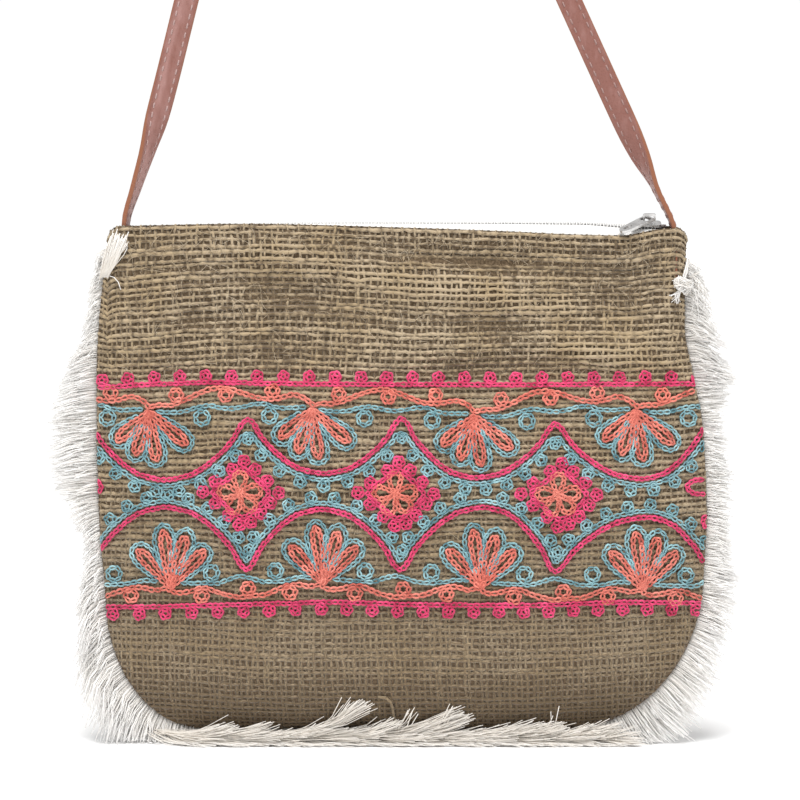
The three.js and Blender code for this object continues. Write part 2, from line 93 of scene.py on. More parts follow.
def between(table, key, name, at):
    """A table's column read smoothly between its rows, with no overshoot."""
    keys = np.array(table[key], float)
    values = np.array(table[name], float)
    slopes = np.diff(values) / np.diff(keys)
    product = slopes[:-1] * slopes[1:]
    total = slopes[:-1] + slopes[1:]
    inner = np.where(product > 0, 2 * product / np.where(product > 0, total, 1), 0)
    tangents = np.concatenate([slopes[:1], inner, slopes[-1:]])
    where = np.clip(at, keys[0], keys[-1])
    i = np.clip(np.searchsorted(keys, where) - 1, 0, len(keys) - 2)
    span = keys[i + 1] - keys[i]
    t = (where - keys[i]) / span
    bend = span * (tangents[i] * (1 - t) ** 2 * t - tangents[i + 1] * t**2 * (1 - t))
    return values[i] + (values[i + 1] - values[i]) * t * t * (3 - 2 * t) + bend


def seam_across(side, height):
    """Where the seam of one side runs at a height."""
    corner = BOTTOM_CORNER[side]
    edge = between(SIDE_SEAM, "height", side, np.maximum(height, corner["up"]))
    below = np.clip((corner["up"] - height) / corner["up"], 0, 1)
    return edge - np.sign(edge) * corner["across"] * (1 - np.sqrt(1 - below**2))


def seam_share(across, height):
    """How far out a place is between the bag's middle (0) and its side seam (1)."""
    left = seam_across("left", height)
    right = seam_across("right", height)
    return np.minimum(1, np.abs(across - (left + right) / 2) / ((right - left) / 2))


def hollow(across, height):
    """Half the depth of the bag's inside at a place."""
    depth = between(FULLNESS, "height", "depth", height)
    boxy = between(FULLNESS, "height", "boxy", height)
    return depth * (1 - seam_share(across, height) ** boxy) ** EDGE_ROUNDING


def folds(across, height):
    """How far the soft folds push the front out at a place."""
    total = 0
    for fold in FOLDS:
        turn = math.radians(fold["turn"])
        x = across - fold["across"]
        z = height - fold["height"]
        along = (x * math.cos(turn) + z * math.sin(turn)) / fold["long"]
        over = (z * math.cos(turn) - x * math.sin(turn)) / fold["broad"]
        total = total + fold["push"] * np.exp(-(along**2) - over**2)
    return total * (1 - seam_share(across, height) ** FOLD_FADE)


def mouth_height(front, across):
    """The height of a wall's top edge at a place across."""
    dip = between(MOUTH_DIP, "across", "dip", across) if front else 0
    end = np.where(across < 0, seam_across("left", BODY_HEIGHT), seam_across("right", BODY_HEIGHT))
    short = MOUTH_CORNER - np.minimum(MOUTH_CORNER, np.abs(end - across))
    return BODY_HEIGHT - dip - MOUTH_CORNER + np.sqrt(MOUTH_CORNER**2 - short**2)


def wall_point(front, across, level, sink=0.0):
    """Points on a wall, that far under its outer face."""
    across, level = np.broadcast_arrays(np.asarray(across, float), np.asarray(level, float))
    out = SEAM_HALF + hollow(across, level) + CLOTH - sink
    if front:
        out = out + folds(across, level)
    t = np.clip((level - BODY_HEIGHT + DIP_REACH) / DIP_REACH, 0, 1)
    lift = t * t * (3 - 2 * t)
    height = level - lift * (BODY_HEIGHT - mouth_height(front, across))
    return np.stack([across, -out if front else out, height], -1)


NO_LENGTH = 1e-9


def unit(vectors):
    """Vectors scaled to length one."""
    return vectors / np.maximum(np.linalg.norm(vectors, axis=-1, keepdims=True), NO_LENGTH)


def wall_normal(front, across, level):
    """The way out of a wall at a place."""
    step = 0.4
    wide = wall_point(front, across + step, level) - wall_point(front, across - step, level)
    tall = wall_point(front, across, level + step) - wall_point(front, across, level - step)
    return unit(np.cross(wide, tall)) * (1 if front else -1)


def in_part_frame(points):
    """Bag millimetres as metres in the part's own frame."""
    return points * MM + np.array([BAG_MIDDLE, 0, BAG_BOTTOM])


def new_piece(name, points, faces, material):
    """A smooth mesh piece of the bag, from points in bag millimetres."""
    mesh = bpy.data.meshes.new(name)
    corner_lists = faces if isinstance(faces, list) else faces.tolist()
    mesh.from_pydata(in_part_frame(points).tolist(), [], corner_lists)
    mesh.shade_smooth()
    mesh.materials.append(material)
    piece = bpy.data.objects.new(name, mesh)
    bpy.context.scene.collection.objects.link(piece)
    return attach(piece, "bag")


# Every yarn, stitch, strand and coil turn of the bag is a four-sided thread
THREAD_SIDES = 4


def threads(paths, ups, half_wide, half_high, shade, closed=False):
    """Round threads along paths of shape (threads, points, 3), as points, faces, shades and a map."""
    count, length, _ = paths.shape
    if closed:
        ways = np.roll(paths, -1, 1) - np.roll(paths, 1, 1)
    else:
        ways = np.gradient(paths, axis=1)
    sideways = unit(np.cross(ways, ups))
    outward = unit(np.cross(sideways, ways))
    turn = np.arange(THREAD_SIDES) * 2 * math.pi / THREAD_SIDES
    wide = np.broadcast_to(half_wide, (count, length))[..., None] * np.cos(turn)
    high = np.broadcast_to(half_high, (count, length))[..., None] * np.sin(turn)
    rings = paths[:, :, None] + wide[..., None] * sideways[:, :, None]
    rings = rings + high[..., None] * outward[:, :, None]
    steps = length if closed else length - 1
    n, p, s = np.meshgrid(np.arange(count), np.arange(steps), np.arange(THREAD_SIDES), indexing="ij")

    def corner(point, side):
        return (n * length + point % length) * THREAD_SIDES + side % THREAD_SIDES

    faces = np.stack([corner(p, s), corner(p + 1, s), corner(p + 1, s + 1), corner(p, s + 1)], -1)
    along = np.stack([p, p + 1, p + 1, p], -1) / steps
    round_it = np.stack([s, s, s + 1, s + 1], -1) / THREAD_SIDES
    places = np.stack([along, round_it], -1).reshape(-1, 4, 2)
    owner = n.reshape(-1)
    faces = faces.reshape(-1, 4)
    if not closed:
        first = np.arange(count)[:, None] * length * THREAD_SIDES + np.arange(THREAD_SIDES)
        last = first[:, ::-1] + (length - 1) * THREAD_SIDES
        faces = np.concatenate([faces, first, last])
        step, side = 1 / steps, 1 / THREAD_SIDES
        end_map = np.array([[0, 0], [step, 0], [step, side], [0, side]])
        places = np.concatenate([places, np.broadcast_to(end_map, (2 * count, 4, 2))])
        owner = np.concatenate([owner, np.arange(count), np.arange(count)])
    shades = np.repeat(np.broadcast_to(shade, (count, length)).reshape(-1), THREAD_SIDES)
    return {
        "points": rings.reshape(-1, 3), "faces": faces, "shades": shades, "places": places, "owner": owner,
    }


MAP_NAME = "OFBake"
MAP_ROOM = 0.92  # the share of its strip that a thread's map fills


def thread_piece(name, batches, material, columns=1):
    """One piece of many threads, each with a strip of the piece's map to itself."""
    points, faces, owners = [], [], []
    point_count, thread_count = 0, 0
    for batch in batches:
        points.append(batch["points"])
        faces.append(batch["faces"] + point_count)
        owners.append(batch["owner"] + thread_count)
        point_count += len(batch["points"])
        thread_count += batch["owner"].max() + 1
    owner = np.concatenate(owners)
    places = np.concatenate([batch["places"] for batch in batches])
    rows = -(-thread_count // columns)
    strip = np.stack([owner % columns, owner // columns], -1)[:, None]
    places = (strip + (1 - MAP_ROOM) / 2 + MAP_ROOM * places) / np.array([columns, rows])
    piece = new_piece(name, np.concatenate(points), np.concatenate(faces), material)
    piece.data.uv_layers.new(name=MAP_NAME).data.foreach_set("uv", places.ravel())
    shades = np.concatenate([batch["shades"] for batch in batches])
    piece.data.attributes.new("shade", "FLOAT", "POINT").data.foreach_set("value", shades)
    return piece


def new_material(name, **finish):
    """A material and its shader, with the numbers that are the same all over it."""
    material = bpy.data.materials.new(name)
    material.use_nodes = True
    shader = material.node_tree.nodes["Principled BSDF"]
    for socket, value in finish.items():
        shader.inputs[socket.replace("_", " ")].default_value = value
    return material, shader


def node(material, kind, **settings):
    """A new node in a material, with its settings and the numbers on its sockets."""
    made = material.node_tree.nodes.new("ShaderNode" + kind)
    for name, value in settings.items():
        if hasattr(made, name):
            setattr(made, name, value)
        else:
            made.inputs[name.replace("_", " ")].default_value = value
    return made


def link(material, source, target):
    """Joins a node's output to a socket."""
    material.node_tree.links.new(source, target)


def noise(material, scale, detail=3.0):
    """Noise in the piece's own space, with a scale of its own along each axis, in grains a metre."""
    place = node(material, "TexCoord")
    stretch = node(material, "Mapping", Scale=scale)
    grain = node(material, "TexNoise", Scale=1.0, Detail=detail)
    link(material, place.outputs["Object"], stretch.inputs["Vector"])
    link(material, stretch.outputs["Vector"], grain.inputs["Vector"])
    return grain.outputs["Fac"]


def spread_out(material, value, low, high, to_low=0.0, to_high=1.0):
    """A value's useful range spread over a new one."""
    spread = node(material, "MapRange", From_Min=low, From_Max=high, To_Min=to_low, To_Max=to_high)
    link(material, value, spread.inputs["Value"])
    return spread.outputs["Result"]


# A mix node's two colour sockets and its colour output, which share their names with other sockets
MIX_FIRST = 6
MIX_SECOND = 7
MIX_RESULT = 2


def mixed(material, share, first, second):
    """Two colours mixed by a share; a colour is three numbers or another node's output."""
    mix = node(material, "Mix", data_type="RGBA")
    link(material, share, mix.inputs["Factor"])
    for socket, colour in ((mix.inputs[MIX_FIRST], first), (mix.inputs[MIX_SECOND], second)):
        if isinstance(colour, tuple):
            socket.default_value = (*colour, 1)
        else:
            link(material, colour, socket)
    return mix.outputs[MIX_RESULT]


def bumped(material, shader, height, strength, depth):
    """Fine relief on a shader, that many metres deep."""
    bump = node(material, "Bump", Strength=strength, Distance=depth)
    link(material, height, bump.inputs["Height"])
    link(material, bump.outputs["Normal"], shader.inputs["Normal"])


COLOUR_DRIFT = (45, 45, 45)
FIBRE_RELIEF = 0.0002


def thread_material(name, dark, light, tint, fibre, streak, roughness, sheen):
    """Spun thread: each yarn has its own shade, with fibres along it and a slow drift of colour."""
    material, shader = new_material(
        name, Roughness=roughness, Sheen_Weight=sheen, Sheen_Roughness=0.6, Specular_IOR_Level=0.2
    )
    shade = node(material, "Attribute", attribute_name="shade")
    fibres = noise(material, fibre)
    streaks = node(material, "Math", operation="MULTIPLY_ADD")
    link(material, spread_out(material, fibres, 0.3, 0.7, -streak, streak), streaks.inputs[0])
    streaks.inputs[1].default_value = 1.0
    link(material, shade.outputs["Fac"], streaks.inputs[2])
    drift = spread_out(material, noise(material, COLOUR_DRIFT, 2.0), 0.4, 0.65)
    bright = mixed(material, drift, light, tint)
    clipped = spread_out(material, streaks.outputs["Value"], 0.0, 1.0)
    link(material, mixed(material, clipped, dark, bright), shader.inputs["Base Color"])
    bumped(material, shader, fibres, strength=0.5, depth=FIBRE_RELIEF)
    return material


def wrapped_rows(wide, tall, front):
    """Faces of a closed sheet of two layers, each a grid of wide by tall points, at the front or the back."""
    index = np.arange(wide * tall).reshape(tall, wide)

    def quads(a, b, c, d):
        return np.stack([a.ravel(), b.ravel(), c.ravel(), d.ravel()], -1)

    under = index + wide * tall
    face = quads(index[:-1, :-1], index[:-1, 1:], index[1:, 1:], index[1:, :-1])
    lining = quads(under[:-1, :-1], under[1:, :-1], under[1:, 1:], under[:-1, 1:])
    edges = [(index[0, 1:], index[0, :-1], under[0, :-1], under[0, 1:])]
    edges.append((index[-1, :-1], index[-1, 1:], under[-1, 1:], under[-1, :-1]))
    edges.append((index[:-1, 0], index[1:, 0], under[1:, 0], under[:-1, 0]))
    edges.append((index[1:, -1], index[:-1, -1], under[:-1, -1], under[1:, -1]))
    faces = np.concatenate([face, lining, *[quads(*edge) for edge in edges]])
    return faces if front else faces[:, ::-1]


def seam_to_seam(level, columns):
    """Places across at each level, from seam to seam and closest beside the seams."""
    share = np.sin(np.linspace(-1, 1, columns) * math.pi / 2)
    left = seam_across("left", level)[:, None]
    right = seam_across("right", level)[:, None]
    return (left + right) / 2 + (right - left) / 2 * share


# The ground lies under the yarns' middles; its rows crowd towards the bottom, where the wall curls most
GROUND = {"sink": 1.05, "thick": 0.3, "columns": 65, "rows": 51, "crowd": 1.3}
# Below the first height the weave is open and even, above the second the weft is beaten close
OPEN_BELOW = 45
CLOSE_ABOVE = 110
# Painted shade in the weave's holes, paler in the open weave below than in the close weave above
HOLE_SHADE_PALE = {"open": (0.185, 0.132, 0.085), "close": (0.17, 0.121, 0.076)}
HOLE_SHADE_DARK = {"open": (0.105, 0.074, 0.047), "close": (0.07, 0.048, 0.028)}


def ground_piece(name, front, material):
    """The wall's closed ground, under the yarns that stand out of it."""
    level = BODY_HEIGHT * np.linspace(0, 1, GROUND["rows"]) ** GROUND["crowd"]
    across = seam_to_seam(level, GROUND["columns"])
    outer = wall_point(front, across, level[:, None], GROUND["sink"])
    inner = wall_point(front, across, level[:, None], GROUND["sink"] + GROUND["thick"])
    points = np.concatenate([outer.reshape(-1, 3), inner.reshape(-1, 3)])
    faces = wrapped_rows(GROUND["columns"], GROUND["rows"], front)
    return new_piece(name, points, faces, material)


def ground_material():
    """Painted shade for the weave's holes: the shadowed undersides of crossing yarns, as a dark colour."""
    material, shader = new_material("jute_ground_painted_shade", Roughness=1.0, Specular_IOR_Level=0.1)
    fibres = noise(material, (900, 900, 900))
    share = spread_out(material, fibres, 0.35, 0.65)
    place = node(material, "TexCoord")
    height = node(material, "SeparateXYZ")
    link(material, place.outputs["Object"], height.inputs["Vector"])
    open_to_close = [BAG_BOTTOM + OPEN_BELOW * MM, BAG_BOTTOM + CLOSE_ABOVE * MM]
    close = spread_out(material, height.outputs["Z"], *open_to_close)
    pale = mixed(material, close, HOLE_SHADE_PALE["open"], HOLE_SHADE_PALE["close"])
    dark = mixed(material, close, HOLE_SHADE_DARK["open"], HOLE_SHADE_DARK["close"])
    link(material, mixed(material, share, dark, pale), shader.inputs["Base Color"])
    bumped(material, shader, fibres, strength=0.6, depth=0.0004)
    return material


WARP_PITCH = 2.6
WEFT_PITCH = 2.92
WARPS = 58  # on each side of the middle
WEFTS = 90
FIRST_WEFT = 0.4
YARN_SINK = 0.78
HALF_CROSSING = 0.25  # a yarn lies flat over this much of its neighbour's pitch to each side
PAINTED_SHADE_BELOW = 150  # painted shade darkens the yarns below this height, most at the bottom
PAINTED_SHADE_LOW = 0.3
SHADED_BELOW = 30  # painted shade where the bottom curls under, below this height
SHADED = 0.55
FOLD_PAINTED_LIGHT = 0.13  # painted highlight on the folds' ridges and painted shade in their hollows, for each millimetre
# How each yarn lies in the open weave below and in the close weave above: its half sizes, its wave and how
# far it stands out. Then how uneven it is, how broad the stitching draws it, its painted light in the close
# weave (painted highlight on the weft, painted shade on the sunken warp) and how much paler the tops of its
# waves are painted there and darker where it dives, and how far it strays at the mouth and how much less at
# the bottom.
WARP = {
    "half_wide": (0.78, 0.62), "half_high": (0.38, 0.4), "wave": (0.13, 0.34), "out": (-0.03, -0.18),
    "uneven": 0.08, "drawn": 0.0, "painted_light": -0.14, "tick_painted_light": 0.2, "stray": 0.24, "stray_fall": 0.15,
}
WEFT = {
    "half_wide": (0.87, 0.8), "half_high": (0.4, 0.46), "wave": (0.13, 0.14), "out": (0.05, 0.18),
    "uneven": 0.13, "drawn": 0.13, "painted_light": 0.17, "tick_painted_light": 0.0, "stray": 0.09, "stray_fall": 0.0,
}
# Spun yarn is uneven: a slow drift along it with so many turns, a difference from yarn to yarn and one from
# crossing to crossing, in where it lies (in pitches), how plump it is and what tone it has
STRAYING = {"turns": 36, "own": 0.08, "crossing": 0.045}
SLUBS = {"turns": 40, "slow": 0.11, "crossing": 0.09}
TONES = {"turns": 34, "slow": 0.13, "own": 0.7, "crossing": 0.34, "open": 0.2, "calmed": 0.4}
MIDDLE_TONE = 0.5
SEWN_DARKER = 0.07
# The stitching draws the weft together over the height of the bands
BAND = {"height": [45, 75, 150, 172], "tight": [0, 1, 1, 0]}


def read_grid(grid, row, column):
    """A table read between its entries."""
    short_of_end = 1.001  # leaves every place a next entry to be read towards
    row = np.clip(row, 0, grid.shape[0] - short_of_end)
    column = np.clip(column, 0, grid.shape[1] - short_of_end)
    r, c = row.astype(int), column.astype(int)
    down, over = row - r, column - c
    upper = grid[r, c] * (1 - over) + grid[r, c + 1] * over
    lower = grid[r + 1, c] * (1 - over) + grid[r + 1, c + 1] * over
    return upper * (1 - down) + lower * down


def run_length(points, axis):
    """Length along a grid of points, from its first row or column."""
    steps = np.linalg.norm(np.diff(points, axis=axis), axis=2)
    start = np.zeros_like(np.take(steps, [0], axis))
    return np.concatenate([start, np.cumsum(steps, axis)], axis)


CLOTH_STEP = 2.0
CLOTH_HALF = 160
CLOTH_COLUMNS = 181
# The sewn cloth is a little slack: its yarns wander in one slow wave and one quick slanting one, and they
# droop at the left corner
SLACK_ASIDE = {"slow": 0.9, "slow_long": 38, "start": 0.5, "quick": 0.5, "quick_long": 17, "slant": 60}
SLACK_DOWN = {"slow": 0.7, "slow_long": 41, "start": 1, "quick": 0.5, "quick_long": 19, "slant": 45}
SLACK_REACH = 25  # the mouth's hem holds the cloth straight, and lets go over this far
DROOP = {"most": 4.5, "side": -140, "broad": 34, "long": 70}
CUT_EDGE = 0.2
BOTTOM_EDGE = 0.4


def lay_cloth(front):
    """Tables that lay flat cloth on the bulged wall, so that yarns keep their spacing."""
    level = np.arange(0, BODY_HEIGHT + CLOTH_STEP / 2, CLOTH_STEP)
    across = seam_to_seam(level, CLOTH_COLUMNS)
    run = run_length(wall_point(front, across, level[:, None]), 1)
    run = run - np.array([[np.interp(0, a, r)] for a, r in zip(across, run)])
    places = np.arange(-CLOTH_HALF, CLOTH_HALF + CLOTH_STEP / 2, CLOTH_STEP)
    across_grid = np.array([np.interp(places, r, a) for a, r in zip(across, run)])
    falling = level[::-1]
    drop = run_length(wall_point(front, 0.0, falling)[:, None], 0)[:, 0]
    return {"across": across_grid, "level": falling, "drop": drop, "left": run[:, 0], "right": run[:, -1]}


def slack(waves, along, over):
    """How far slack cloth wanders at a place."""
    slow = waves["slow"] * np.sin(along / waves["slow_long"] + waves["start"])
    return slow + waves["quick"] * np.sin(along / waves["quick_long"] + over / waves["slant"])


def on_cloth(cloth, warp, weft):
    """Where a place counted in warp and weft yarns lies on the wall, and whether it is inside the seam."""
    side, drop = np.broadcast_arrays(warp * WARP_PITCH, (weft + FIRST_WEFT) * WEFT_PITCH)
    free = np.clip(drop / SLACK_REACH, 0, 1)
    beside_droop = (side - DROOP["side"]) / DROOP["broad"]
    droop = DROOP["most"] * np.exp(-(beside_droop**2) - (drop / DROOP["long"]) ** 2)
    aside = slack(SLACK_ASIDE, drop, side)
    drop = drop + free * (droop + slack(SLACK_DOWN, side, drop))
    side = side + aside
    level = np.interp(drop, cloth["drop"], cloth["level"])
    across = read_grid(cloth["across"], level / CLOTH_STEP, (side + CLOTH_HALF) / CLOTH_STEP)
    rows = np.arange(len(cloth["left"])) * CLOTH_STEP
    inside = (side > np.interp(level, rows, cloth["left"])) & (side < np.interp(level, rows, cloth["right"]))
    return across, level, inside & (drop > CUT_EDGE) & (level > BOTTOM_EDGE)


def wandering(rng, count, length, turns):
    """Slow random drift along each of many yarns."""
    values = rng.normal(size=(count, turns))
    at = np.linspace(0, turns - 1, length)
    return np.array([np.interp(at, np.arange(turns), row) for row in values])


SHORTEST_YARN = 4  # crossings


def inside_runs(inside):
    """The first and last places of each unbroken stretch."""
    edges = np.flatnonzero(np.diff(np.concatenate([[0], inside.astype(int), [0]])))
    return [(a, b) for a, b in zip(edges[::2], edges[1::2]) if b - a >= SHORTEST_YARN]


HEM_REACH = 6
HEM = {"over": 0.1, "sink": 0.7, "deep": 1.6, "inner_sink": 1.2}


def hem_turn(front, across):
    """Where a warp yarn turns in over the mouth's edge."""
    top = wall_point(front, across, BODY_HEIGHT, HEM["sink"]) + np.array([0, 0, HEM["over"]])
    inner = wall_point(front, across, BODY_HEIGHT - HEM["deep"], HEM["inner_sink"])
    inward = np.array([0, 1 if front else -1, 0])
    return {"line": np.stack([inner, top]), "ups": np.stack([inward, np.array([0, 0, 1])])}


def yarn_batches(front, cloth, warpwise, bends, seed):
    """All yarns of one direction: flat over each crossing, then down under the next."""
    rng = np.random.default_rng(seed)
    kind = WARP if warpwise else WEFT
    count = 2 * WARPS + 1 if warpwise else WEFTS
    crossings = np.arange(WEFTS) if warpwise else np.arange(-WARPS, WARPS + 1)
    yarn = np.arange(count)[:, None] - (WARPS if warpwise else 0)
    spots = crossings
    if bends > 1:
        spots = (crossings[:, None] + np.linspace(-HALF_CROSSING, HALF_CROSSING, bends)).ravel()
    grid = (count, spots.size)
    over = np.where((yarn + np.repeat(crossings, bends)) % 2 == 0, 1.0, -1.0)
    stray = kind["stray"] - kind["stray_fall"] * spots / WEFTS
    drift = stray * wandering(rng, *grid, STRAYING["turns"]) + rng.normal(0, STRAYING["crossing"], grid)
    own = rng.normal(0, STRAYING["own"], (count, 1))
    if warpwise:
        across, level, inside = on_cloth(cloth, yarn + drift + own, spots[None])
    else:
        across, level, inside = on_cloth(cloth, spots[None], yarn + drift + own)
    normal = wall_normal(front, across, level)
    beaten = np.clip((level - OPEN_BELOW) / (CLOSE_ABOVE - OPEN_BELOW), 0, 1)

    def by_place(name):
        low, high = kind[name]
        return low + (high - low) * beaten

    lift = by_place("wave") * (over if warpwise else -over) + by_place("out")
    path = wall_point(front, across, level, YARN_SINK) + normal * lift[..., None]
    slubs = SLUBS["slow"] * wandering(rng, *grid, SLUBS["turns"]) + rng.normal(0, SLUBS["crossing"], grid)
    plump = np.exp(rng.normal(0, kind["uneven"], (count, 1)) + slubs)
    tone = rng.normal(0, TONES["own"] * kind["uneven"], (count, 1))
    tone = tone + TONES["slow"] * wandering(rng, *grid, TONES["turns"])
    tone = (tone + rng.normal(0, TONES["crossing"], grid)) * (TONES["open"] + (1 - TONES["open"]) * beaten)
    tight, wear_and_painted_light, spread = 0, 0, 1
    if front:
        tight = between(BAND, "height", "tight", level)
        # painted highlight on the folds' ridges, painted shade in their hollows
        wear_and_painted_light = FOLD_PAINTED_LIGHT * folds(across, level)
        slope = folds(across, level + 0.5) - folds(across, level - 0.5)  # over one millimetre
        spread = np.hypot(1, slope)
    tone = tone * (1 - TONES["calmed"] * tight)
    # painted shade: the yarns are painted darker towards the bottom, and darker still where the bottom curls
    # under
    painted_shade = PAINTED_SHADE_LOW * (1 - np.clip(level / PAINTED_SHADE_BELOW, 0, 1))
    painted_shade = painted_shade + SHADED * (1 - np.clip(level / SHADED_BELOW, 0, 1))
    # painted light: in the close weave the weft is painted paler and the sunken warp darker, each warp paler
    # where it passes over and darker where it dives under
    crossing_painted_light = beaten * (kind["painted_light"] + kind["tick_painted_light"] * over)
    shade = MIDDLE_TONE + crossing_painted_light - SEWN_DARKER * tight + wear_and_painted_light + tone - painted_shade
    half_wide = by_place("half_wide") * plump * (1 + kind["drawn"] * tight)
    if not warpwise:
        half_wide = half_wide * spread
    half_high = by_place("half_high") * np.sqrt(plump)
    batches = []
    for n in range(count):
        for a, b in inside_runs(inside[n]):
            line, ups = path[n, a:b], normal[n, a:b]
            wide, high, tint = half_wide[n, a:b], half_high[n, a:b], shade[n, a:b]
            if warpwise and level[n, a] > BODY_HEIGHT - HEM_REACH:
                turned = hem_turn(front, across[n, a])
                line = np.concatenate([turned["line"], line])
                ups = np.concatenate([turned["ups"], ups])
                wide, high, tint = (np.concatenate([v[:1], v[:1], v]) for v in (wide, high, tint))
            batches.append(threads(line[None], ups[None], wide[None], high[None], tint[None]))
    return batches


FRONT_HAIRS = 1250
BACK_HAIRS = 300
HAIR_POINTS = 4
HAIR_HALF = 0.065
HAIR_CURL = 0.9
HAIR_STEP = {"shape": 4, "scale": 0.34}
HAIR_RISE = {"least": 0.05, "most": 1.3, "step": 0.12, "uneven": 0.22}
HAIR_TONE = 0.2
# Hairs start this far from the mouth and the bottom, this share of the width from the seams, and crowd
# towards the mouth, where the bag is handled
HAIR_START = {"edge": 4, "seam": 0.03, "crowd": 1.8}
HAIR_CLEAR = {"seam": 1, "bottom": 2, "mouth": 1}  # they stay this far inside the wall's edges


def hair_batch(front, count, seed):
    """Stray fibres that stand off the cloth in shallow curves."""
    rng = np.random.default_rng(seed)
    edge, seam = HAIR_START["edge"], HAIR_START["seam"]
    fall = rng.uniform(0, 1, (count, 1)) ** HAIR_START["crowd"]
    level = BODY_HEIGHT - edge - (BODY_HEIGHT - 2 * edge) * fall
    left, right = seam_across("left", level), seam_across("right", level)
    across = left + (right - left) * rng.uniform(seam, 1 - seam, (count, 1))
    turn = rng.uniform(0, 2 * math.pi, (count, 1))
    turn = turn + rng.normal(0, HAIR_CURL, (count, 1)) * np.linspace(0, 1, HAIR_POINTS)
    step = rng.gamma(HAIR_STEP["shape"], HAIR_STEP["scale"], (count, 1))
    across = across + np.cumsum(step * np.cos(turn), 1)
    across = np.clip(across, left + HAIR_CLEAR["seam"], right - HAIR_CLEAR["seam"])
    level = level + np.cumsum(step * np.sin(turn), 1)
    level = np.clip(level, HAIR_CLEAR["bottom"], BODY_HEIGHT - HAIR_CLEAR["mouth"])
    climb = np.cumsum(rng.normal(HAIR_RISE["step"], HAIR_RISE["uneven"], (count, HAIR_POINTS)), 1)
    path = wall_point(front, across, level, -np.clip(climb, HAIR_RISE["least"], HAIR_RISE["most"]))
    # painted shade: the hairs are painted darker towards the bottom
    shade = level[:, :1] / BODY_HEIGHT + rng.normal(0, HAIR_TONE, (count, 1))
    return threads(path, wall_normal(front, across, level), HAIR_HALF, HAIR_HALF, shade)


# Raw jute from its darkest to its lightest, with a golden tinge; the fibres run along the yarns
JUTE = {"dark": (0.145, 0.102, 0.058), "light": (0.47, 0.37, 0.243), "tint": (0.405, 0.303, 0.177)}
JUTE_FINISH = {"streak": 0.45, "roughness": 0.9, "sheen": 0.15}
weft_jute = thread_material("jute_weft", **JUTE, fibre=(600, 2300, 2300), **JUTE_FINISH)
warp_jute = thread_material("jute_warp", **JUTE, fibre=(2300, 2300, 600), **JUTE_FINISH)
hair_jute = thread_material(
    "jute_hair", dark=(0.26, 0.19, 0.11), light=(0.64, 0.54, 0.4), tint=(0.56, 0.46, 0.32),
    fibre=(900, 900, 900), streak=0.3, roughness=0.8, sheen=0.1,
)
jute_ground_painted_shade = ground_material()

front_cloth = lay_cloth(True)
front_ground = ground_piece("front_ground", True, jute_ground_painted_shade)
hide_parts("front_panel")
# One yarn has worked loose at the bottom of the front and hangs in a curl
LOOSE_YARN = {"across": [-11, -7.6, -5.2, -4.3, -3.9, -2.8], "level": [17.4, 17, 14.9, 11.6, 8, 4.6]}
LOOSE_RISE = 0.7
loose = wall_point(True, LOOSE_YARN["across"], LOOSE_YARN["level"], -LOOSE_RISE)[None]
towards_front = np.broadcast_to([0, -1, 0], loose.shape)
curl = threads(loose, towards_front, half_wide=0.62, half_high=0.55, shade=0.4)
front_yarns = yarn_batches(True, front_cloth, warpwise=False, bends=2, seed=11)
front_weft = thread_piece("front_weft", front_yarns + [curl], weft_jute)
front_yarns = yarn_batches(True, front_cloth, warpwise=True, bends=1, seed=12)
front_warp = thread_piece("front_warp", front_yarns, warp_jute)
hairs = hair_batch(True, FRONT_HAIRS, seed=15)
front_hairs = thread_piece("front_hairs", [hairs], hair_jute, columns=16)

back_cloth = lay_cloth(False)
back_ground = ground_piece("back_ground", False, jute_ground_painted_shade)
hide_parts("back_panel")
back_yarns = yarn_batches(False, back_cloth, warpwise=False, bends=1, seed=13)
back_weft = thread_piece("back_weft", back_yarns, weft_jute)
back_yarns = yarn_batches(False, back_cloth, warpwise=True, bends=1, seed=14)
back_warp = thread_piece("back_warp", back_yarns, warp_jute)
hairs = hair_batch(False, BACK_HAIRS, seed=16)
back_hairs = thread_piece("back_hairs", [hairs], hair_jute, columns=16)

# Chain-stitched bands
# Soft cotton thread in three colours, worked by hand in chain stitch through the front wall: fans, waves and
# a row of diamonds between two picot edges. Each stitch is a loop that holds the start of the next. The
# lines are charted as they look from the front, in bag millimetres, and carried back on to the wall.
VIEW_CENTRE = np.array([-0.945, 0, 152.4])
VIEW_DISTANCE = 1800
VIEW_RISE = math.radians(4.5)
VIEW_UP = np.array([0, math.sin(VIEW_RISE), math.cos(VIEW_RISE)])
VIEW_EYE = VIEW_CENTRE + VIEW_DISTANCE * np.array([0, -math.cos(VIEW_RISE), math.sin(VIEW_RISE)])
SIGHT_ROUNDS = 8  # a line of sight is followed to the wall in so many rounds, from a first guess of its depth
FIRST_DEPTH = -20.0
SEAM_EDGE = 0.3  # stitches are caught in the side seams, this far inside them


def on_front(chart):
    """Charted points carried along the line of sight on to the front wall."""
    sideways = (chart[..., :1] - VIEW_CENTRE[0]) * np.array([1, 0, 0])
    way = VIEW_CENTRE + sideways + (chart[..., 1:] - VIEW_CENTRE[2]) * VIEW_UP - VIEW_EYE
    deep = np.full(chart.shape[:-1], FIRST_DEPTH)
    for _ in range(SIGHT_ROUNDS):
        place = VIEW_EYE + way * ((deep - VIEW_EYE[1]) / way[..., 1])[..., None]
        across, level = place[..., 0], place[..., 2]
        deep = wall_point(True, across, level)[..., 1]
    return across, level


LINK_PITCH = 3.0
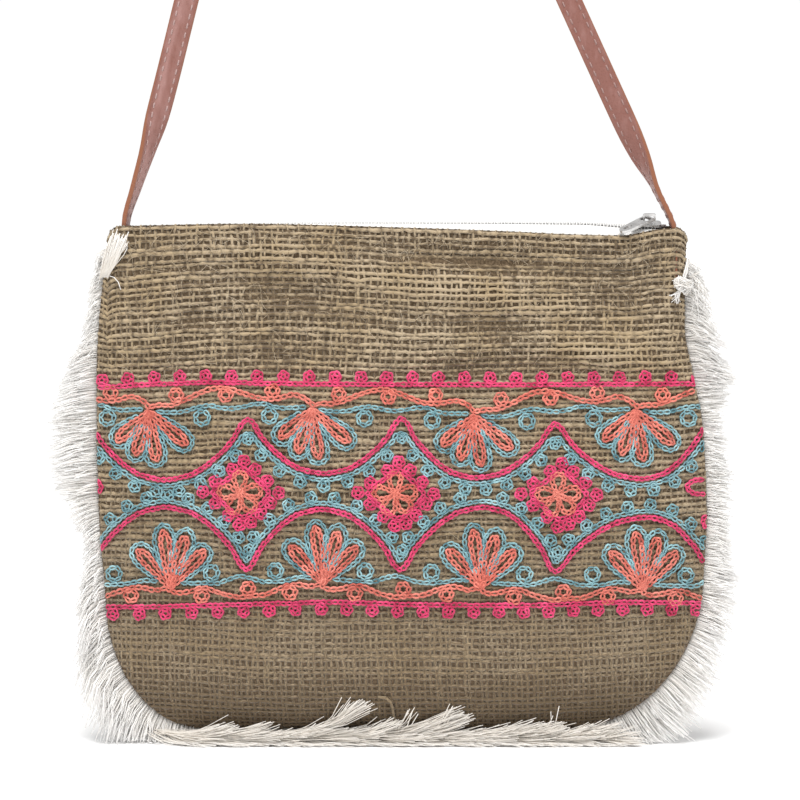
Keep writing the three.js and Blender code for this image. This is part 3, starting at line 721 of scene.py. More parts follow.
# One loop of thread: share of the stitch's length, share of its half width and millimetres above the cloth
LOOP_ALONG = np.array([-0.1, 0.25, 0.65, 1.0, 1.15, 1.0, 0.65, 0.25])[:, None]
LOOP_SIDE = np.array([0, 0.6, 1.0, 0.86, 0, -0.86, -1.0, -0.6])[:, None]
LOOP_RISE = np.array([0.05, 0.3, 0.42, 0.36, 0.28, 0.36, 0.42, 0.3])
LOOP_MIDDLE = 0.3
# Hand work is uneven: in millimetres for the place, else as a share
HAND = {"place": 0.1, "width": 0.1, "rise": 0.15, "thick": 0.07}
# A stitch's middle tone and how uneven it is, and painted light: a loop is painted paler where it rises off
# the cloth and darker where it goes into it
STITCH_TONE_AND_LIGHT = {"middle": 0.45, "uneven": 0.19, "high": 0.5}
LEAST_SEWN = 4  # a stitch is there if so many of its loop's points are inside the seams


def spaced(path, pitch):
    """A charted line as evenly spaced points."""
    path = np.asarray(path, float)
    run = np.concatenate([[0], np.cumsum(np.hypot(*np.diff(path, axis=0).T))])
    count = max(2, round(run[-1] / pitch))
    at = np.linspace(0, run[-1], count + 1)
    return np.stack([np.interp(at, run, path[:, 0]), np.interp(at, run, path[:, 1])], -1)


def chain(path, pitch=LINK_PITCH):
    """A line of stitches, each as its start and the start of the next."""
    places = spaced(path, pitch)
    return np.stack([places[:-1], places[1:]], 1)


def ring(centre, radius, links, turn=0.3):
    """A closed ring of stitches."""
    angle = turn + np.arange(links + 1) * 2 * math.pi / links
    places = np.asarray(centre) + radius * np.stack([np.cos(angle), np.sin(angle)], -1)
    return np.stack([places[:-1], places[1:]], 1)


def stitch_batch(chains, loop_half, thread_half, lift, seed):
    """Loops of thread on the front wall, one for each stitch."""
    rng = np.random.default_rng(seed)
    links = np.concatenate(chains)
    links = links + rng.normal(0, HAND["place"], links.shape)
    way = links[:, 1] - links[:, 0]
    beside = np.stack([-way[:, 1], way[:, 0]], -1) / np.hypot(*way.T)[:, None]
    half = loop_half * rng.normal(1, HAND["width"], (len(links), 1))
    loop = links[:, :1] + way[:, None] * LOOP_ALONG + (half * beside)[:, None] * LOOP_SIDE
    across, level = on_front(loop)
    left = seam_across("left", level) + SEAM_EDGE
    right = seam_across("right", level) - SEAM_EDGE
    sewn = ((across > left) & (across < right)).sum(1) >= LEAST_SEWN
    across, level = np.clip(across, left, right)[sewn], level[sewn]
    each = (len(across), 1)
    rise = (LOOP_RISE + lift) * rng.normal(1, HAND["rise"], each)
    path = wall_point(True, across, level, -rise)
    shade = rng.normal(STITCH_TONE_AND_LIGHT["middle"], STITCH_TONE_AND_LIGHT["uneven"], each)
    # painted highlight on the loop's raised parts, painted shade where it goes into the cloth
    shade = shade + STITCH_TONE_AND_LIGHT["high"] * (LOOP_RISE - LOOP_MIDDLE)
    thick = thread_half * rng.normal(1, HAND["thick"], each)
    return threads(path, wall_normal(True, across, level), thick, thick, shade, closed=True)


# Where the fans spring from and where their petals point, above and below the diamonds
UPPER_FANS = np.array([(-190, 147), (-116, 147.1), (-41.4, 148.2), (33.2, 145), (107.3, 147.4), (181.5, 147)])
UPPER_PETALS = np.array([(-14.8, -13), (-6.5, -19.7), (3.2, -22.5), (17, -14.9)])
LOWER_FANS = np.array([(-190, 66), (-106.3, 66.4), (-36.5, 68.2), (36, 66.4), (110.4, 65.6), (184, 65.6)])
LOWER_PETALS = np.array([(-14.8, 17.2), (-3.2, 26), (7.2, 24), (15.6, 16.8)])
# A petal's outline, and a longer and wider blue one round each coral one that starts short of its base
PETAL_ALONG = np.array([0, 0.25, 0.5, 0.75, 0.93, 1, 0.93, 0.75, 0.5, 0.25, 0])
PETAL_SIDE = np.array([0.05, 0.45, 0.75, 0.97, 0.7, 0, -0.7, -0.97, -0.75, -0.45, -0.05])
PETAL_HALF = 2.1
OUTLINE = {"half": 5.1, "longer": 3, "first": 0.2}


def petal(base, way, half, first=0.0):
    """The outline of a petal, from its base round the tip and back."""
    long = np.hypot(*way)
    side = np.array([-way[1], way[0]]) / long
    line = base + np.outer(PETAL_ALONG, way) + half * np.outer(PETAL_SIDE, side)
    return line[PETAL_ALONG >= first]


def waves(bases, swing):
    """A line that swings the same way in each gap between fans; swing is share of the gap, millimetres up."""
    share, rise = np.array(swing).T
    return [a + np.outer(share, b - a) + np.outer(rise, [0, 1]) for a, b in zip(bases[:-1], bases[1:])]


def rings_in_gaps(bases, spots, radius, links):
    """The same rings in each gap between fans."""
    return [ring(spot, radius, links) for gap in waves(bases, spots) for spot in gap]


# How the lines swing from fan to fan: share of the gap, and millimetres above the fans' feet
UPPER_CORAL = [
    (0.01, 1.4), (0.03, 2.6), (0.06, 3), (0.1, 2.7), (0.15, 2.9), (0.2, 4.7), (0.26, 6.3), (0.3, 8),
    (0.37, 9.9), (0.44, 10.5), (0.5, 9.9), (0.575, 8), (0.64, 6), (0.71, 5), (0.775, 5), (0.84, 6.1),
    (0.89, 7.2), (0.94, 5.8), (0.98, 4), (1, 1.5),
]
UPPER_BLUE = [
    (0.045, 0.3), (0.085, -0.5), (0.165, -0.6), (0.23, 0), (0.29, 1.6), (0.37, 2.5), (0.44, 1.3),
    (0.505, 0.7), (0.57, 1.4), (0.64, 2.8), (0.725, 2.9), (0.76, 1.4), (0.83, 0.6), (0.9, 0.9), (0.955, 1),
]
LOWER_BLUE = [
    (0.0625, 2.2), (0.15, 1.7), (0.23, 1.6), (0.32, 1.2), (0.38, 3), (0.455, 4.6), (0.53, 3.4),
    (0.605, 1.5), (0.7, 1.4), (0.77, 1.9), (0.85, 3.4), (0.92, 3),
]
LOWER_CORAL = [
    (0, -1.6), (0.055, -2.9), (0.13, -2), (0.19, -0.6), (0.245, -0.6), (0.305, -2.6), (0.38, -4.4),
    (0.455, -5.4), (0.545, -4.6), (0.62, -4.6), (0.68, -2.9), (0.735, -1.2), (0.795, 0.2), (0.86, 0),
    (0.92, -1.6), (0.97, -0.4), (1, 0),
]
coral = [chain(np.concatenate(waves(UPPER_FANS, UPPER_CORAL)))]
coral.append(chain(np.concatenate(waves(LOWER_FANS, LOWER_CORAL))))
coral += rings_in_gaps(UPPER_FANS, [(0.165, 7.4), (0.47, 7.2), (0.76, 8.8)], radius=2.7, links=6)
coral += rings_in_gaps(LOWER_FANS, [(0.205, -4.2), (0.51, -1.6), (0.785, -3.6)], radius=2.8, links=6)
blue = [chain(gap) for gap in waves(UPPER_FANS, UPPER_BLUE) + waves(LOWER_FANS, LOWER_BLUE)]
blue += rings_in_gaps(UPPER_FANS, [(0.325, -3.2), (0.74, -2.8)], radius=3.3, links=7)
blue += rings_in_gaps(LOWER_FANS, [(0.27, 6.2), (0.69, 6.4)], radius=3.2, links=7)
for fans, petals in ((UPPER_FANS, UPPER_PETALS), (LOWER_FANS, LOWER_PETALS)):
    for base in fans:
        for way in petals:
            coral.append(chain(petal(base, way, PETAL_HALF)))
            longer = way * (1 + OUTLINE["longer"] / np.hypot(*way))
            blue.append(chain(petal(base, longer, OUTLINE["half"], OUTLINE["first"])))

# The scalloped lines over and under the diamonds turn sharply at every second place
UPPER_SCALLOP = [
    (-144.6, 143), (-108.8, 115.7), (-70.7, 144.1), (-35.8, 118.6), (-0.2, 144.4), (34, 116.6), (70.2, 141.8),
    (110.2, 116.1), (143, 148),
]
LOWER_SCALLOP = [
    (-144, 75), (-108.8, 103.3), (-71.4, 74), (-37.2, 102.4), (-0.9, 73.9), (37.6, 103.3), (70.2, 73),
    (112.9, 98.7), (142, 72),
]
SCALLOP_ACROSS = np.array([0, 0.08, 0.18, 0.32, 0.49, 0.67, 0.88, 1])
SCALLOP_FALL = np.array([0, 0.1, 0.35, 0.56, 0.76, 0.91, 0.98, 1])
SHORT_PITCH = 2.5
FINE_PITCH = 0.8
NEAREST = 0.93  # a line beside another is left out where it comes closer than this share of its distance
# Inside each scallop run a blue line and a row of small rings, so far from it and so far short of its turns
BLUE_BESIDE = 2.9
PICOTS_BESIDE = 5.7
PICOT_PITCH = 10.2
PICOT_ROOM = 5
PICOT_LINKS = 5
PICOT_RADIUS = {"scallop": 2.3, "peak": 1.9, "plain": 2.2}
PEAK_PICOT = 9.6  # from a sharp turn to the single ring inside it
LOW_PICOT_ASIDE = 1.2
SCALLOPS = [
    {"turns": UPPER_SCALLOP, "below": 1, "blue_short": 6.3, "picots_short": 17},
    {"turns": LOWER_SCALLOP, "below": -1, "blue_short": 4.2, "picots_short": 15},
]


def scallop(turns):
    """A line from sharp turns to round ones and back."""
    line = []
    turns = np.array(turns)
    for n, (start, end) in enumerate(zip(turns[:-1], turns[1:])):
        way = np.stack([SCALLOP_ACROSS, SCALLOP_FALL], -1)
        if n % 2:
            way = 1 - way[::-1]
        line.append(start + way * (end - start))
    return np.concatenate(line)


def beside(path, distance, short):
    """A line beside one scallop, below it (or above, at a negative distance) and short of its sharp ends."""
    fine = spaced(path, FINE_PITCH)
    way = np.gradient(fine, axis=0)
    moved = fine + distance * np.stack([way[:, 1], -way[:, 0]], -1) / np.hypot(*way.T)[:, None]
    clear = np.hypot(*(moved[:, None] - fine).transpose(2, 0, 1)).min(1) > NEAREST * abs(distance)
    ends = np.interp(moved[:, 0], [path[0, 0], path[-1, 0]], [path[0, 1], path[-1, 1]])
    return moved[clear & (np.sign(distance) * (ends - moved[:, 1]) > short)]


pink = []
scallop_picots = []
for row in SCALLOPS:
    turns, below = row["turns"], row["below"]
    pink.append(chain(scallop(turns), SHORT_PITCH))
    line = []
    for n in range(0, len(turns) - 2, 2):
        edge = scallop(turns[n:n + 3])
        line.append(beside(edge, below * BLUE_BESIDE, row["blue_short"]))
        for spot in spaced(beside(edge, below * PICOTS_BESIDE, row["picots_short"]), PICOT_PITCH):
            if all(math.dist(spot, other) > PICOT_ROOM for other in scallop_picots):
                scallop_picots.append(spot)
    blue.append(chain(np.concatenate(line)))
blue += [ring(spot, PICOT_RADIUS["scallop"], PICOT_LINKS, n) for n, spot in enumerate(scallop_picots)]
for across, top in UPPER_SCALLOP[2:-1:2]:
    blue.append(ring((across, top - PEAK_PICOT), PICOT_RADIUS["peak"], PICOT_LINKS))
for across, low in LOWER_SCALLOP[2:-1:2]:
    blue.append(ring((across + LOW_PICOT_ASIDE, low + PEAK_PICOT), PICOT_RADIUS["plain"], PICOT_LINKS))

# Diamonds: a ring of pink rings on a pink line, with a five-petalled coral flower inside
DIAMONDS = np.array([(-74.4, 109.7), (-3.2, 109.2), (71.6, 108.8)])
DIAMOND_RINGS = np.array(
    [(1.8, 14.7), (-3.5, 10.9), (7, 10.9), (-11.4, 5.3), (12.6, 5.6), (-17, 0.6), (17.8, 0.1), (-11.4, -4.6),
     (14, -4.6), (-5.3, -10.2), (9.7, -9.6), (-0.3, -14.6), (5, -13.4)]
)
FLOWER_TURNS = np.radians([90, 175, 7, 245, 310])
FLOWER = {"long": 9.8, "half": 3.2}
INNER_LINE = 0.78  # share of the way out to the rings
by_turn = np.argsort(np.arctan2(DIAMOND_RINGS[:, 1], DIAMOND_RINGS[:, 0]))
outer_line = DIAMOND_RINGS[np.append(by_turn, by_turn[0])]
for centre in DIAMONDS:
    for n, spot in enumerate(centre + DIAMOND_RINGS):
        pink.append(ring(spot, PICOT_RADIUS["plain"], PICOT_LINKS, n))
    pink.append(chain(centre + INNER_LINE * outer_line, SHORT_PITCH))
    for turn in FLOWER_TURNS:
        way = FLOWER["long"] * np.array([math.cos(turn), math.sin(turn)])
        coral.append(chain(petal(centre, way, FLOWER["half"]), SHORT_PITCH))

# What shows of the next diamonds at the side seams
CUT_DIAMONDS = [
    [(-142, 118), (-137.5, 112.5), (-142, 106)],
    [(141, 116), (133, 115.5), (130.5, 112.5), (133, 109.5), (141, 109)],
    [(141, 101), (137.5, 97.5), (139, 94)],
]
pink += [chain(line, SHORT_PITCH) for line in CUT_DIAMONDS]

# Picot edges along the top and the bottom of the bands
TOP_EDGE = np.array([(-142, 158), (-115, 159.6), (-89, 160.5), (-40, 159.8), (60, 159.4), (140, 160)])
LOW_EDGE = np.array(
    [(-142, 57.4), (-118, 57.5), (-50, 59.2), (-33, 59.8), (10, 58.4), (60, 58.2), (100, 59.7), (142, 59.2)]
)
EDGE_PICOTS = 24
EDGE_PITCH = 2.6
PICOT_EDGES = [
    {"line": TOP_EDGE, "first": -137.6, "pitch": 11.87, "closing": 0, "away": 3.1},
    {"line": LOW_EDGE, "first": -132.7, "pitch": 12.1, "closing": 0.02, "away": -3.2},
]
for edge in PICOT_EDGES:
    pink.append(chain(edge["line"], EDGE_PITCH))
    for n in range(EDGE_PICOTS):
        across = edge["first"] + (edge["pitch"] - edge["closing"] * n) * n
        height = np.interp(across, *edge["line"].T) + edge["away"]
        pink.append(ring((across, height), PICOT_RADIUS["plain"], PICOT_LINKS, n))

COTTON_THREAD = {"fibre": (2500, 2500, 2500), "streak": 0.3, "roughness": 0.7, "sheen": 0.2}
blue_thread = thread_material(
    "blue_thread", dark=(0.06, 0.17, 0.2), light=(0.4, 0.65, 0.69), tint=(0.33, 0.58, 0.62),
    **COTTON_THREAD,
)
coral_thread = thread_material(
    "coral_thread", dark=(0.44, 0.075, 0.05), light=(0.94, 0.32, 0.245), tint=(0.92, 0.26, 0.19),
    **COTTON_THREAD,
)
pink_thread = thread_material(
    "pink_thread", dark=(0.4, 0.012, 0.06), light=(0.95, 0.085, 0.25), tint=(0.9, 0.06, 0.2),
    **COTTON_THREAD,
)
blue_loops = stitch_batch(blue, loop_half=0.78, thread_half=0.42, lift=0.28, seed=21)
coral_loops = stitch_batch(coral, loop_half=0.88, thread_half=0.5, lift=0.4, seed=22)
pink_loops = stitch_batch(pink, loop_half=0.84, thread_half=0.5, lift=0.34, seed=23)
blue_stitches = thread_piece("blue_stitches", [blue_loops], blue_thread, columns=24)
coral_stitches = thread_piece("coral_stitches", [coral_loops], coral_thread, columns=24)
pink_stitches = thread_piece("pink_stitches", [pink_loops], pink_thread, columns=24)

# Cotton fringe
# Loose cream cotton strands on a tape that is caught in the side and bottom seam. They stand out from the
# sides in a soft brush and droop at their ends; under the bag they are trapped on the floor and swept to
# the right, with their cut ends up against the front.
FRINGE_TOP = {"left": 222, "right": 218}
FLOOR_UNDER = -5.8  # height of the underside of the lowest strands
# A strand thins towards its cut end, waves a little and lies in a low heap on the floor; painted shade makes
# it darker towards its root, where the strands crowd at the seam
STRAND = {"half": 0.22, "taper": 0.2, "uneven": 0.12, "wave": 0.5, "turns": 4.5, "heap": 1.6, "points": 5}
STRAND_TONE_AND_SHADE = {"root": 0.22, "end": 0.65, "uneven": 0.1}
STRAND_FACE = np.array([0.3, -0.9, 0.3])
# Strands round the seam, from the left top: their length, how far they spread front and back, and which way
# their ends lean
FRINGE = {
    "along": [
        0, 0.05, 0.075, 0.1, 0.17, 0.195, 0.24, 0.31, 0.345, 0.385, 0.615, 0.65, 0.74, 0.82, 0.89, 0.93, 1,
    ],
    "long": [7, 9, 13, 17, 17.5, 9, 19, 27, 23, 17, 17.5, 19, 16.5, 10, 9, 19, 8],
    "spread": [3, 3, 4, 5, 6, 4, 6, 9, 10, 11, 11, 9, 6, 4, 4, 6, 3],
    "out": [0.3, 0.4, 0.9, 1, 0.9, 0.5, 0.2, 0.05, 0.05, 0, 0.5, 0.9, 1, 1, 1, 0.9, 0.5],
    "down": [1, 1, 0.6, 0.35, 0.3, 1, 1, 1, 0.8, 0.3, 0.2, 0.2, 0.15, 0.25, 0.25, 0.6, 1],
    "right": [0, 0, 0, 0, 0, 0, 0, 0, 0.5, 1, 1, 0.4, 0, 0, 0, 0, 0],
}
BRUSH_ENDS = (0.37, 0.635)  # between these the strands lie under the bag
SEAM_STEPS = 200  # on each side, crowded towards the bottom
SEAM_CROWD = 1.6
SEAM_STEP = 0.004  # share of the seam over which its direction is read


def seam_line():
    """The seam that holds the fringe, as points and the share of the way along it."""
    down = np.linspace(1, 0, SEAM_STEPS) ** SEAM_CROWD
    left = FRINGE_TOP["left"] * down
    right = FRINGE_TOP["right"] * down[::-1]
    across = np.concatenate([seam_across("left", left), seam_across("right", right)])
    points = np.stack([across, 0 * across, np.concatenate([left, right])], -1)
    run = run_length(points[:, None], 0)[:, 0]
    return points, run / run[-1]


seam_points, seam_run = seam_line()


def on_seam(along):
    """Points of the seam and the way out of the bag there."""
    def read(at):
        return np.stack([np.interp(at, seam_run, column) for column in seam_points.T], -1)

    way = unit(read(np.minimum(along + SEAM_STEP, 1)) - read(np.maximum(along - SEAM_STEP, 0)))
    return read(along), np.stack([way[:, 2], 0 * along, -way[:, 0]], -1)


def strand_batch(roots, bends, ends, rng, tone, points=STRAND["points"]):
    """Soft strands that leave their roots towards a bend and end beyond it, on or above the floor."""
    t = np.linspace(0, 1, points)[:, None]
    path = (1 - t) ** 2 * roots[:, None] + 2 * t * (1 - t) * bends[:, None] + t**2 * ends[:, None]
    phase = rng.uniform(0, 2 * math.pi, (len(roots), 1, 1))
    path = path + t * np.sin(STRAND["turns"] * t + phase) * rng.normal(0, STRAND["wave"], (len(roots), 1, 3))
    each = (len(roots), 1)
    floor = FLOOR_UNDER + STRAND["half"] + rng.uniform(0, STRAND["heap"], each)
    path[..., 2] = np.maximum(path[..., 2], floor)
    along = t[:, 0]
    shade = STRAND_TONE_AND_SHADE["root"] + STRAND_TONE_AND_SHADE["end"] * along + tone
    shade = shade + rng.normal(0, STRAND_TONE_AND_SHADE["uneven"], each)
    ups = np.broadcast_to(STRAND_FACE, path.shape)
    half = STRAND["half"] * (1 - STRAND["taper"] * along) * rng.normal(1, STRAND["uneven"], each)
    return threads(path, ups, half, half, shade)


# Strands hang together in tufts: how far a strand strays from its tuft, and how much the tufts and the single
# strands differ in lean and length
TUFTS = {"count": 120, "stray": 0.35, "lean": 0.14, "length": 0.1}
SINGLE = {"lean": 0.07, "length": 0.12}
# A brush strand's depth in the seam, and the shares of its length, lean and spread up to its bend and its end
BRUSH = {"root": 2.5, "root_spread": 0.05, "bend": 0.45, "bend_lean": 0.3, "end": 0.6, "spread": 0.5}
# painted light: the side strands are painted paler than the strands under the bag
BRUSH_PAINTED_LIGHT = 0.25


def brush_batch(count, share, points, seed):
    """The strands that stand out from the sides and the round corners, at a share of their full length."""
    rng = np.random.default_rng(seed)
    tufts = TUFTS["count"]
    along = np.sort(rng.uniform(0, 1, count))
    along = along[(along < BRUSH_ENDS[0]) | (along > BRUSH_ENDS[1])]
    seam, out = on_seam(along)
    tuft = (along * tufts + rng.normal(0, TUFTS["stray"], along.size)).astype(int).clip(0, tufts - 1)
    lean = rng.normal(0, TUFTS["lean"], (tufts, 3))[tuft] + rng.normal(0, SINGLE["lean"], (along.size, 3))
    longer = rng.normal(0, TUFTS["length"], tufts)[tuft] + rng.normal(0, SINGLE["length"], along.size)
    longer = np.exp(longer)
    long = (share * between(FRINGE, "along", "long", along) * longer)[:, None]
    aside = between(FRINGE, "along", "spread", along) * rng.uniform(-1, 1, along.size)
    depth = aside[:, None] * np.array([0, 1, 0])
    fall = np.array([0, 0, -1]) * between(FRINGE, "along", "down", along)[:, None]
    sweep = np.array([1, 0, 0]) * between(FRINGE, "along", "right", along)[:, None]
    tip_way = unit(out * between(FRINGE, "along", "out", along)[:, None] + fall + sweep + lean)
    roots = seam - BRUSH["root"] * out + BRUSH["root_spread"] * depth
    bend_way = unit(out + BRUSH["bend_lean"] * lean)
    bends = seam + BRUSH["bend"] * long * bend_way + BRUSH["spread"] * depth
    ends = bends + BRUSH["end"] * long * tip_way + BRUSH["spread"] * depth
    return strand_batch(roots, bends, ends, rng, BRUSH_PAINTED_LIGHT, points)


# Bunches swept along the floor: where each leaves the seam, where its cut ends are across and in height, and
# how many strands it has
SWEPT_BUNCHES = [
    (-112, -80, 3, 26), (-86, -62, 1, 20), (-60, -30, 5, 22), (-52, -16, 13.5, 34), (-44, -22, 16, 16),
    (-28, -2, 5, 26), (-6, 4.5, 12, 7), (-16, 26, 9.5, 30), (-4, 30, 7, 24), (12, 22, 11.5, 6),
    (28, 58, 3, 24), (44, 72, 3, 24), (66, 70.5, 9, 4), (62, 92, 1.5, 24), (78, 104, 2, 16),
]
# Where the strands of a bunch and of the apron are rooted, bend and end: across, in depth and in height
ROOT_DEPTH = (-0.4, 0.4)
BUNCH = {
    "root": (-7, 5), "root_height": 0.6, "bend_share": 0.3, "bend": (-4, 4), "bend_depth": (11, 17),
    "bend_height": (0.5, 4), "end": 2.2, "end_height": 1.4, "end_away": (0.8, 5), "least_depth": 11,
    "least_height": 0.5,
}
APRON = {
    "root": (-5, 5), "root_height": 0.3, "bend": (4, 10), "bend_depth": (8, 13), "bend_height": 1,
    "end": (12, 28), "end_depth": (12, 18),
}
# painted shade: the strands swept under the bag and those on the floor in front of it are painted darker
BUNCH_PAINTED_SHADE = -0.65
APRON_PAINTED_SHADE = -0.4
# The low layers under the bag: how many bunches, from where to where they start, and how far and how high
# they are swept
FRONT_LAYER = {"bunches": 56, "strands": 16}
REAR_LAYER = {"bunches": 30, "strands": 16}
APRON_LAYER = {"bunches": 50, "strands": 10, "start": (-116, 88)}
LAYER_START = (-110, 84)
LAYER_SWEEP = (18, 34)
LAYER_HEIGHT = (-4, 4)


def bunch(rng, start, end, height, count, front):
    """One bunch of strands from the seam, under the wall's edge and along the floor."""
    side = -1 if front else 1
    across = start + rng.uniform(*BUNCH["root"], count)
    roots = np.stack([across, rng.uniform(*ROOT_DEPTH, count), np.full(count, BUNCH["root_height"])], -1)
    low = FLOOR_UNDER + rng.uniform(*BUNCH["bend_height"], count)
    reach = start + (end - start) * BUNCH["bend_share"] + rng.uniform(*BUNCH["bend"], count)
    bends = np.stack([reach, side * rng.uniform(*BUNCH["bend_depth"], count), low], -1)
    across = end + rng.normal(0, BUNCH["end"], count)
    tip = height + rng.normal(0, BUNCH["end_height"], count)
    wall = np.abs(wall_point(front, across, np.maximum(tip, BUNCH["least_height"]))[:, 1])
    edge = np.maximum(BUNCH["least_depth"], wall)
    ends = np.stack([across, side * (edge + rng.uniform(*BUNCH["end_away"], count)), tip], -1)
    return strand_batch(roots, bends, ends, rng, BUNCH_PAINTED_SHADE)


def apron(rng, start, count):
    """Strands that lie flat on the floor in front of the bag."""
    along = start + rng.uniform(*APRON["root"], count)
    roots = np.stack([along, rng.uniform(*ROOT_DEPTH, count), np.full(count, APRON["root_height"])], -1)
    low = np.full(count, FLOOR_UNDER + APRON["bend_height"])
    across = along + rng.uniform(*APRON["bend"], count)
    bends = np.stack([across, -rng.uniform(*APRON["bend_depth"], count), low], -1)
    reach = -rng.uniform(*APRON["end_depth"], count)
    across = along + rng.uniform(*APRON["end"], count)
    ends = np.stack([across, reach, np.full(count, FLOOR_UNDER)], -1)
    return strand_batch(roots, bends, ends, rng, APRON_PAINTED_SHADE)


def swept_batches(seed):
    """The strands under the bag: a low layer front and back, and the bunches whose ends rise at the front."""
    rng = np.random.default_rng(seed)
    batches = [bunch(rng, start, end, height, count, True) for start, end, height, count in SWEPT_BUNCHES]
    for start in np.linspace(*APRON_LAYER["start"], APRON_LAYER["bunches"]):
        batches.append(apron(rng, start, APRON_LAYER["strands"]))
    for front, layer in ((True, FRONT_LAYER), (False, REAR_LAYER)):
        for start in np.linspace(*LAYER_START, layer["bunches"]):
            end = start + rng.uniform(*LAYER_SWEEP)
            batches.append(bunch(rng, start, end, rng.uniform(*LAYER_HEIGHT), layer["strands"], front))
    return batches


def before_front(across, height, away):
    """Points that far in front of the front wall."""
    return wall_point(True, np.asarray(across, float), np.asarray(height, float), -away)


# The left tuft's roots, bends and cut ends: across and height at one side of its fan, how far the fan opens,
# how uneven it is in height, and how far its strands stand off the wall
LEFT_TUFT = [
    {"place": (-138.4, 208), "opens": (4.5, 5), "uneven": 0, "away": (0.2, 1.0)},
    {"place": (-137, 217), "opens": (8, 0), "uneven": 0.6, "away": (1.6, 3.0)},
    {"place": (-133.5, 227.5), "opens": (9, -2), "uneven": 1.8, "away": (0.9, 2.3)},
]
LEFT_TUFT_STRANDS = 110
LEFT_TUFT_TONE = -0.35
STRAY_STRAND = ((-136.4, 210), (-130, 211.5), (-128.5, 203.5))


def left_tuft(rng):
    """A tuft brushed up over the left corner, with one stray strand."""
    fan = rng.uniform(0, 1, LEFT_TUFT_STRANDS)
    shape = []
    for row in LEFT_TUFT:
        across = row["place"][0] + row["opens"][0] * fan
        height = row["place"][1] + row["opens"][1] * fan
        if row["uneven"]:
            height = height + rng.normal(0, row["uneven"], fan.size)
        shape.append(before_front(across, height, rng.uniform(*row["away"], fan.size)))
    stray = [before_front([across], [height], 0.8) for across, height in STRAY_STRAND]
    return [strand_batch(*shape, rng, LEFT_TUFT_TONE), strand_batch(*stray, rng, tone=0.3)]


# The knot at the right: its strands, those that tie it to the corner above and the loose ends below it
KNOT = np.array([128.4, 207.0])
KNOT_HALF = np.array([4.6, 3.6])
KNOT_AWAY = (0.6, 3.0)
KNOT_STRANDS = 80
TIED_STRANDS = 9
LOOSE_STRANDS = 14
HANGING_STRANDS = 26
KNOT_TONE = 0.1
LOOSE_TONE = 0.2


def scattered(rng, count, *reaches):
    """That many places, each of their numbers spread evenly over a reach of its own."""
    return [rng.uniform(low, high, count) for low, high in reaches]


def right_knot(rng):
    """A knot tied at the right corner."""
    wound = []
    for turn in rng.uniform(0, 2 * math.pi, (3, KNOT_STRANDS)):
        wound.append(KNOT[:, None] + KNOT_HALF[:, None] * np.stack([np.cos(turn), np.sin(turn)]))
    wound = [before_front(*spots, rng.uniform(*KNOT_AWAY, KNOT_STRANDS)) for spots in wound]
    batches = [strand_batch(*wound, rng, KNOT_TONE)]

    count = TIED_STRANDS
    top = before_front(np.full(count, 130.6), rng.uniform(218, 226, count), 0.1)
    middle = before_front(*scattered(rng, count, (129, 131.5), (212, 217)), 1.2)
    tied = before_front(KNOT[0] + rng.normal(0, 0.6, count), KNOT[1] + rng.uniform(0, 2, count), 1.2)
    batches.append(strand_batch(top, middle, tied, rng, KNOT_TONE))

    count = LOOSE_STRANDS
    start = before_front(KNOT[0] + rng.normal(0, 0.6, count), KNOT[1] - rng.uniform(0, 1.5, count), 1)
    below = before_front(*scattered(rng, count, (123.6, 127.5), (201, 204)), 1.4)
    loose = before_front(*scattered(rng, count, (121.4, 126.6), (197.6, 201.6)), 0.8)
    batches.append(strand_batch(start, below, loose, rng, LOOSE_TONE))

    count = HANGING_STRANDS
    start = np.stack(scattered(rng, count, (130, 132), (-3, 0), (201, 210)), -1)
    over = start + np.stack(scattered(rng, count, (3, 9), (-5, 2), (-4, 8)), -1)
    drop = over + np.stack(scattered(rng, count, (-3, 4), (-3, 2), (-14, -3)), -1)
    batches.append(strand_batch(start, over, drop, rng, KNOT_TONE))
    return batches


cream_cotton = thread_material(
    "cream_cotton", dark=(0.78, 0.725, 0.65), light=(0.96, 0.945, 0.925), tint=(0.94, 0.92, 0.89),
    fibre=(1500, 1500, 1500), streak=0.12, roughness=0.8, sheen=0.4,
)
brush = [brush_batch(count=7900, share=1, points=4, seed=31)]
brush.append(brush_batch(count=2100, share=0.5, points=3, seed=34))
fringe_sides = thread_piece("fringe_sides", brush, cream_cotton, columns=24)
fringe_bottom = thread_piece("fringe_bottom", swept_batches(seed=32), cream_cotton, columns=24)
ends_rng = np.random.default_rng(33)
end_strands = left_tuft(ends_rng) + right_knot(ends_rng)
fringe_ends = thread_piece("fringe_ends", end_strands, cream_cotton, columns=8)
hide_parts("fringe")

# Zip
# A white nylon coil zip. Each tape is woven, sewn inside the mouth and folded over it to the coil, whose
# turns from both sides lock into one ridge. The slider and its pull are cast and plated.
ZIP = {
    "across": [-125, -105, 0, 80, 105, 125],
    "ridge": [230, 232.6, 233.6, 233.4, 232, 231.4],
    "lean": [0, 0, 4, 10, 15, 15],
}
TAPE = {"thick": 0.8, "leg": 9, "land": 4.9, "tuck": 1, "end": 121, "columns": 122, "ribs": 25}
TAPE_RIB = 0.07
SEWING_GAP = 0.6  # from a wall's inner face to the tape
COIL = {"half": 2.6, "rise": 1.1, "start": -120, "end": 116.2, "pitch": 0.78, "sink": 0.4, "gap": 0.3}


def zip_frame(across):
    """The zip's ridge at places across the mouth, the way to the back there and the way up."""
    lean = np.radians(between(ZIP, "across", "lean", across))
    ridge = np.stack([across, 0 * across, between(ZIP, "across", "ridge", across)], -1)
    back = np.stack([0 * across, np.cos(lean), np.sin(lean)], -1)
    up = np.stack([0 * across, -np.sin(lean), np.cos(lean)], -1)
    return ridge, back, up


